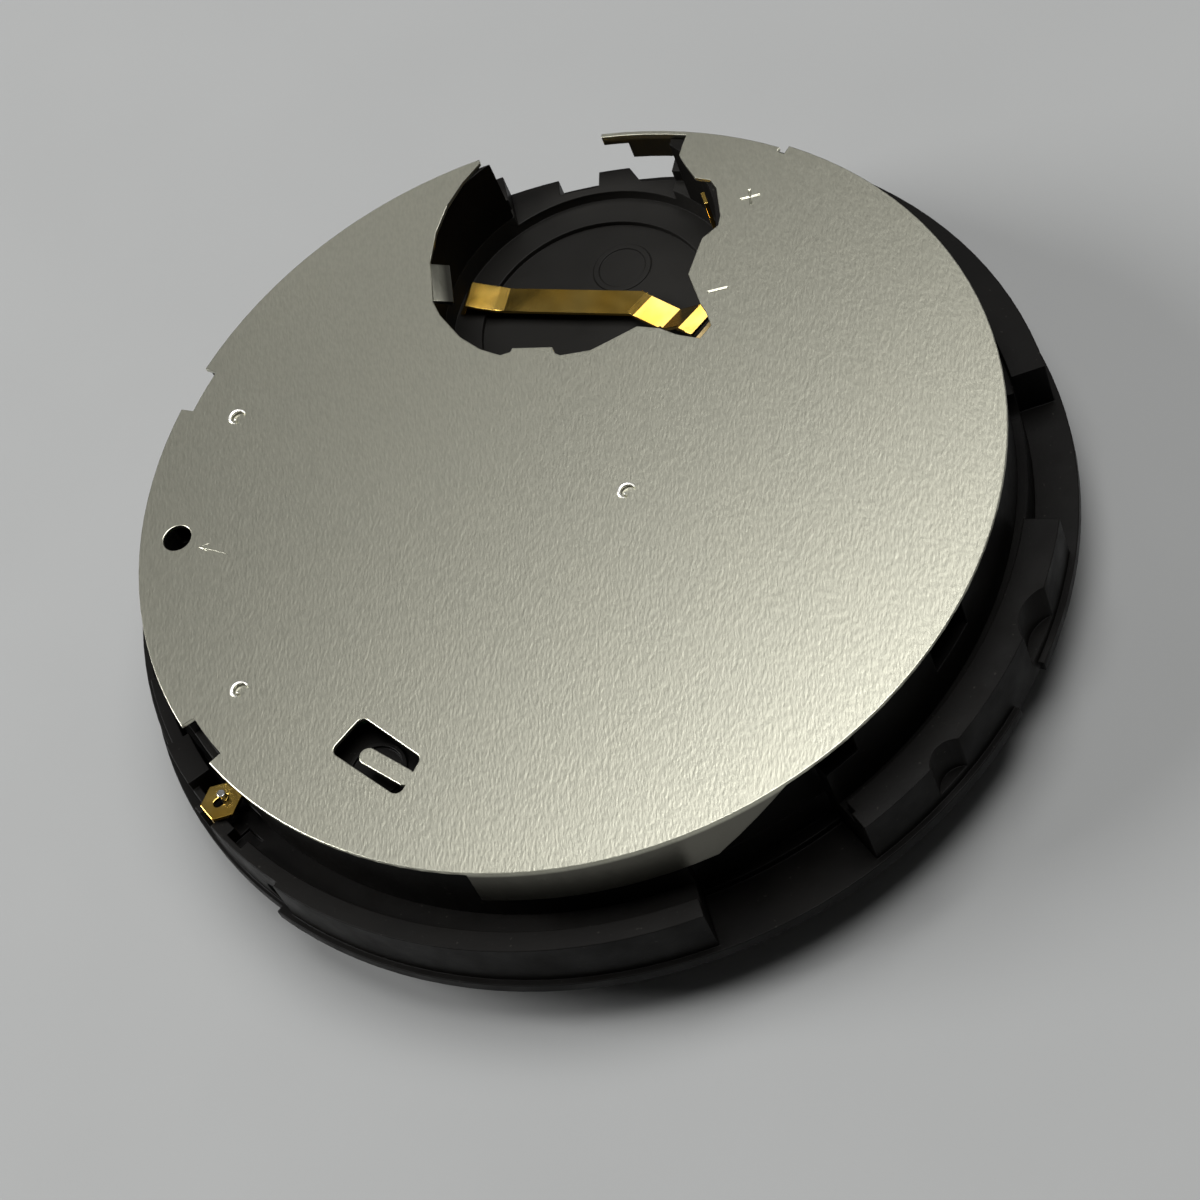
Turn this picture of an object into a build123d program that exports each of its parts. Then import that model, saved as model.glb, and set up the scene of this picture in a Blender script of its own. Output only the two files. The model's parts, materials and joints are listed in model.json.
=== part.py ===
from build123d import *
import os
from math import atan2, cos, degrees, hypot, radians, sin, sqrt

# A round chronograph movement with a battery, seen from its battery side.
# Origin: the hand axis, on the plane that the dial rests on. +Z points to the cover plate,
# +Y to 12 o'clock, and the winding stem would leave along -X. All lengths are millimetres.

# Overall sizes
casing_diameter = 30.0
lip_diameter = 30.4
lip_height = 0.4
flange_top = 2.2
movement_height = 4.6
cover_diameter = 27.5
cover_gauge = 0.15
module_diameter = 27.1
module_wall = 0.85
module_seat = 1.7
sheet_gap = 0.05
running_gap = 0.03
overrun = 0.5
side_cut = 1.0
gate_cut = 1.5
deep_cut = 2.0

casing_radius = casing_diameter / 2
lip_radius = lip_diameter / 2
cover_radius = cover_diameter / 2
module_radius = module_diameter / 2
module_bore = module_radius - module_wall
cover_low = movement_height - cover_gauge
well_radius = module_bore - sheet_gap
seat_radius = module_radius + sheet_gap

# Battery and its bay
battery_diameter = 9.5
battery_height = 3.6
bay_gap = 0.2
bay_wall = 0.3
bay_bearing = 84.9
bay_offset = 9.12
bay_step = 0.2
bay_step_share = 0.8
bay_fence_height = 0.4
bay_wall_bearings = (119.0, 401.0)
boss_radius = 1.0
boss_height = 0.05
boss_offset_shares = (0.2, 0.39)

bay_radius = battery_diameter / 2 + bay_gap
bay_outer = bay_radius + bay_wall
bay_centre = (bay_offset * cos(radians(bay_bearing)), bay_offset * sin(radians(bay_bearing)))
bay_floor = cover_low - battery_height
bay_sump = bay_floor - bay_step
fence_top = bay_floor + bay_fence_height
bay_gate = (69.8, 96.3)
plate_gate_bearings = (72.8, 96.3)
gate_gap_bearings = (84.4, 89.8)
gate_tooth_bearings = (80.3, 78.5)

# Dial side: a shallow seat for the date work, and a deeper well for the wheels under the hands
date_seat_depth = 0.5
date_seat_radius = 13.15
date_seat_inner = 8.6
date_plate_seat = 0.22
date_plate_radius = 11.6
date_plate_gauge = 0.15
date_ring_level = 0.26
date_ring_gauge = 0.2
date_ring_outer = 13.0
date_tooth_tip = 10.4
date_tooth_root = 10.9
date_tooth_root_share = 0.4
date_tooth_tip_share = 0.1
date_days = 31
motion_ceiling = 0.95
motion_well_radius = 4.5
driver_well_radius = 4.15
train_floor = 1.15

# Hand seats
hour_seat_radius = 0.6
minute_seat_radius = 0.375
small_seat_radius = 0.125
hour_shoulder_radius = 0.8
hour_shoulder_gap = 0.08
hour_shoulder_end = -0.25
hour_seat_end = -0.9
minute_seat_end = -1.4
seconds_seat_end = -1.9
counter_seat_end = -1.1
counter_offset = 6.5
seconds_bearing = -90.0
minutes_bearing = 30.0
tenths_bearing = 150.0
driver_bearing = 210.0

# Gear teeth
addendum_share = 0.9
dedendum_share = 1.2
tooth_root_share = 0.58
tooth_tip_share = 0.2
wheel_gauge = 0.15
wheel_rim = 0.3
wheel_bars = 2
wheel_hub = 0.45
arbor_radius = 0.2
pivot_radius = 0.12
pivot_length = 0.25
pivot_reach = 0.15
pivot_gap = 0.04

# Train levels, lowest face of each wheel
centre_level = 1.3
third_level = 1.65
counter_level = 2.0
drive_level = 2.35
pinion_reach = 0.07
bridge_low = 3.0
bridge_gauge = 0.25

bridge_high = bridge_low + bridge_gauge

# Tooth counts and tooth modules
rotor_teeth = 8
drive_teeth = 48
rotor_module = 0.075
drive_pinion_teeth = 10
counter_teeth = 50
counter_module = 0.08
seconds_pinion_teeth = 8
third_teeth = 60
third_module = 0.08
third_pinion_teeth = 10
centre_teeth = 80
centre_module = 0.085
chrono_pinion_teeth = 12
chrono_teeth = 60
chrono_module = 0.105
cannon_teeth = 12
minute_wheel_teeth = 36
motion_module = 0.1
minute_pinion_teeth = 8
hour_wheel_teeth = 32
hour_module = 0.12
date_driver_teeth = 64

# Levels and sizes of the wheels under the hands
hour_wheel_level = 0.5
minute_wheel_level = 0.72
cannon_pinion_level = 0.7
cannon_pinion_gauge = 0.2
minute_pinion_level = 0.47
minute_post_radius = 0.2
driver_post_radius = 0.45
post_end = 0.27
date_finger_level = 0.28
date_finger_width = 0.5
date_finger_reach = 4.85
date_finger_gap = 0.08
date_finger_bearing = 75.0
driver_hub = 0.9

# Date jumper
jumper_offset = 9.3
jumper_lead = 10.0
jumper_width = 0.36
jumper_hub = 0.4
jumper_post_radius = 0.2
beak_depth = 0.26
beak_half_width = 0.26

# Calendar plate screws and dial feet
date_screw_offset = 9.9
date_screw_boss = 0.42
date_screw_bearings = (20.0, 130.0, 245.0, 310.0)
date_screw_depth = 0.62
date_screw_head = 0.5
date_screw_head_low = 0.01
dial_foot_radius = 0.36
dial_foot_depth = 1.2
dial_foot_offset = 14.1
dial_foot_bearings = (35.0, 245.0)

# Stepping motors
rotor_offset = 9.0
chrono_rotor_offset = 5.7
magnet_radius = 0.65
magnet_height = 0.5
magnet_level = 1.4
stator_bore = 0.85
stator_eye = 1.2
stator_gauge = 0.4
stator_level = 1.45
stator_half = 3.65
stator_foot = 1.05
stator_waist = 1.3
stator_back = 0.9
stator_front = 1.1
coil_offset = 2.2
coil_length = 5.0
coil_radius = 0.85
core_width = 0.9
core_gauge = 0.4
core_screw_radius = 0.28
core_screw_head = 0.42
core_screw_head_height = 0.15
core_screw_share = 0.855

core_level = stator_level + stator_gauge

# Bridge, jewels, pillars and screws
bridge_margin = 0.2
bridge_bay_gap = 0.1
coil_window_length = 5.4
coil_window_width = 1.9
jewel_radius = 0.45
pillar_radius = 0.6
screw_radius = 0.3
screw_head_radius = 0.55
screw_head_height = 0.12
screw_depth = 1.1
thread_gap = 0.02
slot_share = 0.3
slot_depth_share = 0.5

# Upper module
web_low = 3.4
web_gauge = 0.3
board_gauge = 0.12
board_radius = 12.45
board_window_radius = 1.8
release_clear_radius = 0.75
chip_size = (2.4, 1.8, 0.3)
chip_place = (3.5, -3.5)
crystal_radius = 0.75
crystal_length = 4.6
crystal_round = 0.15
crystal_place = (8.0, -4.9)
crystal_bearing = 56.8
web_high = web_low + web_gauge
board_high = web_high + board_gauge

# Stem and setting work
stem_hole_radius = 0.48
stem_height = 1.55
key_well_ends = (-12.9, -9.0)
key_well_half_width = 1.1
key_plate_gauge = 0.15
key_level = 2.35
key_cover_level = 2.58
key_cover_gauge = 0.12
key_cover_width = 1.0
key_post_radius = 0.25
key_shoulder_radius = 0.42
key_arm_width = 0.5
key_rivet_radius = 0.15
sliding_pinion_ends = (-11.0, -9.9)
sliding_pinion_radius = 0.7
sliding_groove_ends = (-10.7, -10.4)
sliding_groove_radius = 0.4
stem_square = 0.5
yoke_nub_radius = 0.12
yoke_nub_low = 2.0
lever_pin_radius = 0.15
lever_pin_low = 1.75
key_well_floor = stem_height - sliding_pinion_radius - running_gap
release_offset = 12.5
release_bearing = 175.3
release_radius = 0.47

# Pusher contacts
pusher_bearings = (147.6, 212.4)
contact_gauge = 0.15
contact_low = 2.3
contact_offset = 14.1
contact_sides = 6
contact_gap = 0.1
contact_size = 0.68
contact_slot_length = 0.55
contact_slot_width = 0.3
contact_leg_width = 0.5
contact_leg_low = 1.25
contact_travel = 0.25
switch_post_radius = 0.13
switch_post_offset = 13.98
switch_post_low = 1.5
switch_post_high = 2.75
switch_notch_low = 2.2
switch_notch_high = 2.8
switch_notch_half = 5.5
switch_notch_depth = 0.4

# Rim features, with bearings in degrees from +X
pocket_bearings = (-80.4, -60.5)
pocket_radius = 12.9
pocket_top = 4.3
pocket_sill = 0.65
pocket_sill_gap = 0.15
arch_bearings = (-48.3, -28.2)
arch_radii = (0.72, 1.2)
arch_depths = (0.35, 0.43)
arch_floor = 0.7
recess_bearings = (-15.5, 6.5)
recess_radius = 13.85
recess_hole_bearing = 3.5
recess_hole_height = 1.3
recess_hole_radius = 0.62
lip_gaps = ((-36.7, -30.5), (150.0, 224.0))
fence_radius = 14.35
stem_side_radius = 14.6
stem_side_bearings = (150.0, 210.0)
pusher_side_radius = 14.85
pusher_side_bearings = ((134.0, 150.0), (210.0, 226.0))
wide_groove_radius = 14.35
wide_groove_bearings = (188.0, 300.0)
narrow_groove_radius = 13.9
narrow_groove_bearings = (-60.0, 172.0)
block_top = 2.6
block_radii = (13.8, 14.6)
block_bearings = (201.0, 207.8)
fin_radii = (14.0, 14.4)
fin_bearings = (190.5, 201.0)
edge_notch_radii = (14.0, 14.65)
edge_notch_bearings = (216.2, 219.0)
edge_notch_floor = 1.6
flange_hole_bearing = 224.0
flange_hole_height = 1.05
flange_hole_radius = 0.38
flange_hole_depth = 0.7
slot_bearings = ((-63.9, -55.4), (-41.0, -33.3))
slot_floors = (3.3, 2.95)
lobe_bearings = (-56.0, -32.0)
lobe_outer = 5.95
lobe_sill = 2.45

# Cover plate
cover_notches = ((146.5, 153.4), (206.2, 213.5))
cover_notch_radius = 13.3
wall_notch_depth = 0.5
cover_trim_radius = 13.6
cover_trim_bearings = (53.3, 67.4)
cover_nick_radius = 13.42
cover_nick_bearings = (52.2, 53.3)
skirt_bearings = (254.1, 295.7)
skirt_low = 2.95
skirt_tear_bearings = (-76.2, -65.6)
skirt_tear_middle = -70.0
skirt_tear_reach = 3.0
dimples = ((11.63, 153.1), (11.68, 206.6), (2.37, 329.4))
dimple_radius = 0.26
dimple_depth = 0.07
window_corners = [(-7.66, -8.13), (-6.63, -7.15), (-4.87, -9.03), (-5.63, -10.22)]
window_round = 0.25
window_tongue_root = (-5.4, -9.58)
window_tongue_tip = (-6.5, -8.58)
window_tongue_width = 0.55
window_boss_radius = 0.95
window_boss_wall = 0.15
window_boss_height = 0.1
mark_depth = 0.03
mark_line = 0.06
mark_length = 0.62
plus_mark = (11.49, 52.7)
minus_mark = (7.96, 45.8)
clamp_radii = (13.45, 13.6)
clamp_bearings = (66.9, 76.4, 79.9)
clamp_lows = (3.5, 4.2)
clamp_seat_turn = 0.3
tongue_bearing = 182.4
tongue_width = 1.6
tongue_profile = [(4.85, 4.52), (4.5, 4.5), (3.95, 4.2)]

# Mouth of the cover over the bay: bearing about the bay centre, and share of the mouth radius
mouth_radius = 4.6
mouth_points = [
    (120.5, 1.108),
    (131.2, 1.073),
    (142.9, 1.038),
    (156.1, 1.008),
    (171.6, 0.989),
    (193.1, 1.0),
    (201.1, 0.997),
    (216.9, 0.996),
    (228.5, 0.997),
    (238.2, 0.991),
    (241.7, 0.95),
    (241.7, 0.916),
    (260.2, 0.895),
    (261.8, 0.95),
    (264.0, 0.974),
    (276.3, 0.994),
    (285.1, 0.977),
    (297.1, 0.987),
    (302.7, 1.122),
    (304.6, 1.25),
    (308.0, 1.412),
    (313.0, 1.4),
    (316.4, 1.28),
    (317.9, 1.211),
    (327.6, 0.996),
    (339.7, 0.985),
    (345.7, 0.999),
    (349.3, 1.062),
    (351.3, 1.102),
    (355.8, 1.115),
    (8.8, 1.122),
    (13.4, 1.105),
    (17.7, 1.019),
    (26.3, 1.018),
    (32.4, 1.041),
    (35.3, 1.113),
    (38.3, 1.227),
]
mouth_ends = (67.4, 97.5)

# Battery contacts: profile of the strip along its bearing through the bay centre
strip_bearing = -18.5
strip_shift = 0.38
strip_gauge = 0.12
strip_foot = [(-4.76, 0.91), (-4.5, 1.32), (-3.4, 1.08)]
strip_foot_width = 1.0
strip_roll = (-4.7, 0.92)
strip_roll_radius = 0.07
strip_level = 1.06
strip_bend = 1.38
strip_blade = [(-3.6, 1.12), (-3.2, strip_level), (strip_bend, strip_level)]
strip_blade_width = 0.95
strip_arm_bearing = -48.0
strip_arm = [(0.0, strip_level), (0.3, 1.08), (1.7, 1.3), (2.95, 2.35), (3.56, 2.45)]
strip_tab = [(2.8, 2.22), (2.95, 2.35), (3.56, 2.45)]
strip_tab_width = 1.2
side_contact_bearing = 10.0
side_contact_gauge = 0.12
side_contact_width = 0.5
side_contact_profile = [(4.88, 1.8), (4.66, 2.9), (4.7, 4.25)]


def polar(radius, bearing):
    """Plan point at a radius and a bearing in degrees from +X."""
    return (radius * cos(radians(bearing)), radius * sin(radians(bearing)))


def shifted(point, step):
    """Plan point moved by a step."""
    return (point[0] + step[0], point[1] + step[1])


def bearing_of(start, end):
    """Bearing in degrees of the line from one plan point to another."""
    return degrees(atan2(end[1] - start[1], end[0] - start[0]))


def meeting_point(first, first_reach, second, second_reach, side):
    """Plan point at given distances from two arbors, on the chosen side of their line."""
    gap = hypot(second[0] - first[0], second[1] - first[1])
    along = (first_reach**2 - second_reach**2 + gap**2) / (2 * gap)
    across = side * sqrt(first_reach**2 - along**2)
    ux, uy = (second[0] - first[0]) / gap, (second[1] - first[1]) / gap
    return (first[0] + along * ux - across * uy, first[1] + along * uy + across * ux)


def mesh_reach(first_teeth, second_teeth, module):
    """Distance between two arbors whose gears mesh."""
    return module * (first_teeth + second_teeth) / 2


def mesh_phase(driver, driver_teeth, driver_phase, driven, driven_teeth):
    """Bearing of a driven gear's first tooth, so that it meets a gap of the driver."""
    line = bearing_of(driver, driven)
    fraction = (line - driver_phase) * driver_teeth / 360
    return line + 180 - (0.5 - fraction) * 360 / driven_teeth


def ribbon(points, gauge):
    """Outline of a sheet bent along a line of points."""
    left = []
    right = []
    for index, point in enumerate(points):
        before = points[max(index - 1, 0)]
        after = points[min(index + 1, len(points) - 1)]
        side = polar(gauge / 2, bearing_of(before, after) + 90)
        left.append(shifted(point, side))
        right.append((point[0] - side[0], point[1] - side[1]))
    return left + right[::-1]


def block(points, low, high, mode=Mode.ADD):
    """Upright prism over a closed plan outline, in the open part."""
    with BuildSketch(Plane.XY.offset(low)) as area:
        with BuildLine():
            Polyline(*points, close=True)
        make_face()
    extrude(area.sketch, amount=high - low, mode=mode)


def disc(centre, radius, low, high, mode=Mode.ADD):
    """Upright cylinder, in the open part."""
    with BuildSketch(Plane.XY.offset(low)) as area:
        with Locations(centre):
            Circle(radius)
    extrude(area.sketch, amount=high - low, mode=mode)


def ring(centre, outer, inner, low, high, mode=Mode.ADD):
    """Upright tube, in the open part."""
    with BuildSketch(Plane.XY.offset(low)) as area:
        with Locations(centre):
            Circle(outer)
            Circle(inner, mode=Mode.SUBTRACT)
    extrude(area.sketch, amount=high - low, mode=mode)


def sector(outer, inner, bearings, low, high, mode=Mode.ADD, centre=(0, 0)):
    """Upright slice of a tube between two bearings, in the open part."""
    start, end = bearings
    with BuildSketch(Plane.XY.offset(low)) as area:
        with BuildLine():
            rim = CenterArc(centre, outer, start, end - start)
            root = CenterArc(centre, inner, start, end - start)
            Line(rim @ 0, root @ 0)
            Line(rim @ 1, root @ 1)
        make_face()
    extrude(area.sketch, amount=high - low, mode=mode)


def bar(start, end, width, low, high, mode=Mode.ADD):
    """Upright plate with round ends between two plan points, in the open part."""
    span = hypot(end[0] - start[0], end[1] - start[1])
    with BuildSketch(Plane.XY.offset(low)) as area:
        with Locations(((start[0] + end[0]) / 2, (start[1] + end[1]) / 2)):
            SlotCenterToCenter(span, width, rotation=bearing_of(start, end))
    extrude(area.sketch, amount=high - low, mode=mode)


def facing(point, height, bearing):
    """Upright plane at a plan point, with its normal along a bearing."""
    ux, uy = polar(1.0, bearing)
    return Plane(origin=(point[0], point[1], height), x_dir=(-uy, ux, 0), z_dir=(ux, uy, 0))


def rod(point, height, bearing, radius, length, mode=Mode.ADD):
    """Level round bar that starts at a plan point and runs along a bearing."""
    with BuildSketch(facing(point, height, bearing)) as area:
        Circle(radius)
    extrude(area.sketch, amount=length, mode=mode)


def box(point, height, bearing, width, rise, length, mode=Mode.ADD):
    """Level square bar that starts at a plan point and runs along a bearing."""
    with BuildSketch(facing(point, height, bearing)) as area:
        Rectangle(width, rise)
    extrude(area.sketch, amount=length, mode=mode)


def leaf(point, bearing, profile, gauge, width, mode=Mode.ADD):
    """Bent sheet whose side profile runs along a bearing from a plan point."""
    ux, uy = polar(1.0, bearing)
    plane = Plane(origin=(point[0], point[1], 0), x_dir=(ux, uy, 0), z_dir=(uy, -ux, 0))
    with BuildSketch(plane) as area:
        with BuildLine():
            Polyline(*ribbon(profile, gauge), close=True)
        make_face()
    extrude(area.sketch, amount=width / 2, both=True, mode=mode)


def toothed_disc(centre, teeth, module, phase, low, high, mode=Mode.ADD):
    """Gear with straight-sided teeth, in the open part."""
    tip = module * (teeth / 2 + addendum_share)
    root = module * (teeth / 2 - dedendum_share)
    pitch = 360 / teeth
    corners = []
    for tooth in range(teeth):
        middle = phase + tooth * pitch
        for radius, share in (
            (root, -tooth_root_share),
            (tip, -tooth_tip_share),
            (tip, tooth_tip_share),
            (root, tooth_root_share),
        ):
            corners.append(shifted(centre, polar(radius, middle + share * pitch / 2)))
    block(corners, low, high, mode)


def pinion(axis, teeth, module, phase, wheel_level):
    """Pinion as tall as the wheel it meets, and a little more at both ends."""
    high = wheel_level + wheel_gauge + pinion_reach
    toothed_disc(axis, teeth, module, phase, wheel_level - pinion_reach, high)


def wheel(centre, teeth, module, phase, low):
    """Toothed wheel with straight arms, in the open part."""
    toothed_disc(centre, teeth, module, phase, low, low + wheel_gauge)
    web = module * (teeth / 2 - dedendum_share) - wheel_rim
    with BuildSketch(Plane.XY.offset(low)) as area:
        with Locations(centre):
            Circle(web)
            Circle(wheel_hub, mode=Mode.SUBTRACT)
            with PolarLocations(0, wheel_bars, angular_range=180):
                Rectangle(2 * web + wheel_rim, wheel_rim, mode=Mode.SUBTRACT)
    extrude(area.sketch, amount=wheel_gauge, mode=Mode.SUBTRACT)


def arbor(centre):
    """Train arbor with a thinner pivot at each end, in the open part."""
    disc(centre, arbor_radius, train_floor + pivot_gap, bridge_low - pivot_gap)
    disc(centre, pivot_radius, train_floor - pivot_length, bridge_low + pivot_reach)


def hand_arbor(centre, end):
    """Train arbor that runs down through the plate to a hand seat."""
    disc(centre, arbor_radius, train_floor + pivot_gap, bridge_low - pivot_gap)
    disc(centre, small_seat_radius, end, bridge_low - pivot_gap)
    disc(centre, pivot_radius, bridge_low - pivot_gap, bridge_low + pivot_reach)


def screw(place, head_radius, head_low, head_high, shank_radius, shank_end, upright=1):
    """Slotted screw, in the open part; upright is -1 for one that is driven from the dial side."""
    disc(place, head_radius, head_low, head_high)
    disc(place, shank_radius, min(shank_end, head_low), max(shank_end, head_high))
    depth = (head_high - head_low) * slot_depth_share
    face = head_high if upright > 0 else head_low
    slot = head_radius * slot_share
    with BuildSketch(Plane.XY.offset(face - upright * depth)) as area:
        with Locations(place):
            Rectangle(2 * head_radius + slot, slot)
    extrude(area.sketch, amount=upright * depth, mode=Mode.SUBTRACT)


def motor_point(motor, along, outward):
    """Plan point in a motor's own directions: along its coil, and away from the hand axis."""
    ux, uy = polar(1.0, motor["bearing"])
    return (motor["axis"][0] + outward * ux - along * uy, motor["axis"][1] + outward * uy + along * ux)


def motor_lugs(motor):
    """Plan points of the two screws that hold a motor."""
    reach = stator_half * core_screw_share
    return [motor_point(motor, side * reach, coil_offset) for side in (-1, 1)]


def finish(builder, name):
    """Labels one finished piece and writes its file."""
    builder.part.label = name
    export_step(builder.part, f"parts/{name}.step")


os.makedirs("parts", exist_ok=True)

# Places of the arbors
centre = (0.0, 0.0)
seconds_axis = polar(counter_offset, seconds_bearing)
minutes_axis = polar(counter_offset, minutes_bearing)
tenths_axis = polar(counter_offset, tenths_bearing)
drive_reach = mesh_reach(rotor_teeth, drive_teeth, rotor_module)
counter_reach = mesh_reach(drive_pinion_teeth, counter_teeth, counter_module)
chrono_reach = mesh_reach(chrono_pinion_teeth, chrono_teeth, chrono_module)
third_reach = mesh_reach(seconds_pinion_teeth, third_teeth, third_module)
centre_reach = mesh_reach(third_pinion_teeth, centre_teeth, centre_module)
motion_reach = mesh_reach(cannon_teeth, minute_wheel_teeth, motion_module)
date_reach = mesh_reach(hour_wheel_teeth, date_driver_teeth, hour_module)

motors = {
    "time": {"bearing": -62.3, "offset": rotor_offset},
    "minutes": {"bearing": 5.0, "offset": rotor_offset},
    "tenths": {"bearing": 146.0, "offset": rotor_offset},
    "chrono": {"bearing": 222.0, "offset": chrono_rotor_offset},
}
for motor in motors.values():
    motor["axis"] = polar(motor["offset"], motor["bearing"])

seconds_drive_axis = meeting_point(seconds_axis, counter_reach, motors["time"]["axis"], drive_reach, 1)
minutes_drive_axis = meeting_point(minutes_axis, counter_reach, motors["minutes"]["axis"], drive_reach, -1)
tenths_drive_axis = meeting_point(tenths_axis, counter_reach, motors["tenths"]["axis"], drive_reach, 1)
chrono_drive_axis = meeting_point(centre, chrono_reach, motors["chrono"]["axis"], drive_reach, -1)
third_axis = meeting_point(centre, centre_reach, seconds_axis, third_reach, 1)
minute_wheel_axis = polar(motion_reach, 0.0)
date_driver_axis = polar(date_reach, driver_bearing)

pillar_places = [(-5.3, 9.6), (7.6, 8.0), (10.2, -6.0), (-6.9, -9.3), (-1.5, -11.0)]
yoke_axis = (-10.55, -2.4)
yoke_nub = (-10.55, 0.0)
lever_axis = (-11.3, 1.8)
lever_nose = (-11.75, 0.25)
lever_push = (-12.15, 1.15)
lever_heel = (-10.7, 1.45)
beak_bearing = driver_bearing + 5 * 360 / date_days
jumper_axis = polar(jumper_offset, beak_bearing - jumper_lead)

drive_axes = [seconds_drive_axis, minutes_drive_axis, tenths_drive_axis, chrono_drive_axis]
rotor_axes = [motor["axis"] for motor in motors.values()]
lower_pivots = drive_axes + rotor_axes + [third_axis]
hand_axes = [seconds_axis, minutes_axis, tenths_axis]
pivot_hole = pivot_radius + pivot_gap
hand_hole = small_seat_radius + pivot_gap
pipe_hole = minute_seat_radius + running_gap
date_screws = [polar(date_screw_offset, bearing) for bearing in date_screw_bearings]
release_place = polar(release_offset, release_bearing)
switch_posts_places = [polar(switch_post_offset, bearing) for bearing in pusher_bearings]


def plate_body():
    """Lip, flange, the well for the train, and the battery bay."""
    disc(centre, lip_radius, 0, lip_height)
    disc(centre, casing_radius, lip_height, flange_top)
    with BuildSketch(Plane.XY.offset(train_floor)) as area:
        Circle(well_radius)
        with Locations(bay_centre):
            Circle(bay_outer, mode=Mode.SUBTRACT)
    extrude(area.sketch, amount=flange_top, mode=Mode.SUBTRACT)
    ring(centre, seat_radius, well_radius - overrun, module_seat, flange_top, Mode.SUBTRACT)
    grooves = ((wide_groove_radius, wide_groove_bearings), (narrow_groove_radius, narrow_groove_bearings))
    for radius, bearings in grooves:
        sector(radius, module_radius, bearings, module_seat, flange_top, Mode.SUBTRACT)
    disc(bay_centre, bay_outer, module_seat, flange_top, Mode.SUBTRACT)
    disc(bay_centre, bay_radius, bay_floor, flange_top, Mode.SUBTRACT)
    disc(bay_centre, bay_radius * bay_step_share, bay_sump, flange_top, Mode.SUBTRACT)
    boss = shifted(bay_centre, (boss_offset_shares[0] * bay_radius, boss_offset_shares[1] * bay_radius))
    ring(boss, boss_radius, boss_radius - bay_gap, bay_sump, bay_sump + boss_height)


def plate_gate():
    """Opens the bay to the rim, and leaves a low fence with two teeth."""
    outside = casing_radius + overrun
    sector(outside, well_radius - overrun, plate_gate_bearings, fence_top, flange_top, Mode.SUBTRACT)
    start, end = gate_gap_bearings
    left_gap = [
        polar(fence_radius, start),
        polar(outside, start),
        polar(outside, end),
        polar(fence_radius, end),
    ]
    block(left_gap, lip_height, fence_top, Mode.SUBTRACT)
    tooth_tip, tooth_root = gate_tooth_bearings
    right_gap = [
        polar(fence_radius, plate_gate_bearings[0]),
        polar(outside, plate_gate_bearings[0]),
        polar(outside, tooth_tip),
        polar(casing_radius, tooth_tip),
        polar(fence_radius, tooth_root),
    ]
    block(right_gap, lip_height, fence_top, Mode.SUBTRACT)


def plate_rim_cuts():
    """Pockets, recesses, notches and holes around the rim."""
    outside = lip_radius + overrun
    for bearings in lip_gaps:
        sector(outside, casing_radius, bearings, 0, lip_height, Mode.SUBTRACT)
    sector(outside, stem_side_radius, stem_side_bearings, lip_height, flange_top, Mode.SUBTRACT)
    for bearings in pusher_side_bearings:
        sector(outside, pusher_side_radius, bearings, lip_height, flange_top, Mode.SUBTRACT)
    sector(outside, pocket_radius, pocket_bearings, pocket_sill, flange_top, Mode.SUBTRACT)
    sill_radius = date_seat_radius + pocket_sill_gap
    sector(outside, sill_radius, pocket_bearings, lip_height, flange_top, Mode.SUBTRACT)
    for bearing, radius, depth in zip(arch_bearings, arch_radii, arch_depths):
        disc(polar(casing_radius - depth + radius, bearing), radius, arch_floor, flange_top, Mode.SUBTRACT)
    sector(outside, recess_radius, recess_bearings, lip_height, flange_top, Mode.SUBTRACT)
    sector(outside, module_radius, recess_bearings, module_seat, flange_top, Mode.SUBTRACT)
    hole = polar(pocket_radius, recess_hole_bearing)
    rod(hole, recess_hole_height, recess_hole_bearing, recess_hole_radius, deep_cut, Mode.SUBTRACT)
    hole = polar(pusher_side_radius - flange_hole_depth, flange_hole_bearing)
    rod(hole, flange_hole_height, flange_hole_bearing, flange_hole_radius, side_cut, Mode.SUBTRACT)
    inner, outer = edge_notch_radii
    sector(outer, inner, edge_notch_bearings, edge_notch_floor, flange_top, Mode.SUBTRACT)


def plate_switches():
    """Shoulder and fin by the lower pusher, and the cuts for both contacts."""
    sector(block_radii[1], block_radii[0], block_bearings, module_seat, block_top)
    sector(fin_radii[1], fin_radii[0], fin_bearings, module_seat, block_top)
    for bearing, post in zip(pusher_bearings, switch_posts_places):
        inner = contact_offset + contact_size / 2 - contact_travel
        wide = contact_leg_width + contact_gap
        rise = flange_top - contact_leg_low + overrun
        height = contact_leg_low - contact_gap + rise / 2
        box(polar(inner, bearing), height, bearing, wide, rise, deep_cut, Mode.SUBTRACT)
        disc(post, switch_post_radius, switch_post_low, flange_top, Mode.SUBTRACT)


def plate_dial_side():
    """Seats and wells for the date work and the wheels under the hands, with their posts."""
    date_face = date_seat_depth
    with BuildSketch(Plane.XY) as area:
        Circle(date_seat_radius)
        Circle(date_seat_inner, mode=Mode.SUBTRACT)
    extrude(area.sketch, amount=date_face, mode=Mode.SUBTRACT)
    disc(centre, date_seat_inner, 0, date_plate_seat, Mode.SUBTRACT)
    disc(centre, motion_well_radius, 0, motion_ceiling, Mode.SUBTRACT)
    disc(date_driver_axis, driver_well_radius, 0, motion_ceiling, Mode.SUBTRACT)
    disc(date_driver_axis, date_finger_reach + date_finger_gap, 0, date_face, Mode.SUBTRACT)
    disc(minute_wheel_axis, minute_post_radius, post_end, motion_ceiling)
    disc(date_driver_axis, driver_post_radius, post_end, motion_ceiling)
    disc(jumper_axis, jumper_post_radius, date_plate_seat, date_face)
    for place in date_screws:
        disc(place, date_screw_boss, date_plate_seat, date_face)
        disc(place, screw_radius + thread_gap, date_plate_seat, date_screw_depth, Mode.SUBTRACT)
    for bearing in dial_foot_bearings:
        disc(polar(dial_foot_offset, bearing), dial_foot_radius, 0, dial_foot_depth, Mode.SUBTRACT)


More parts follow.
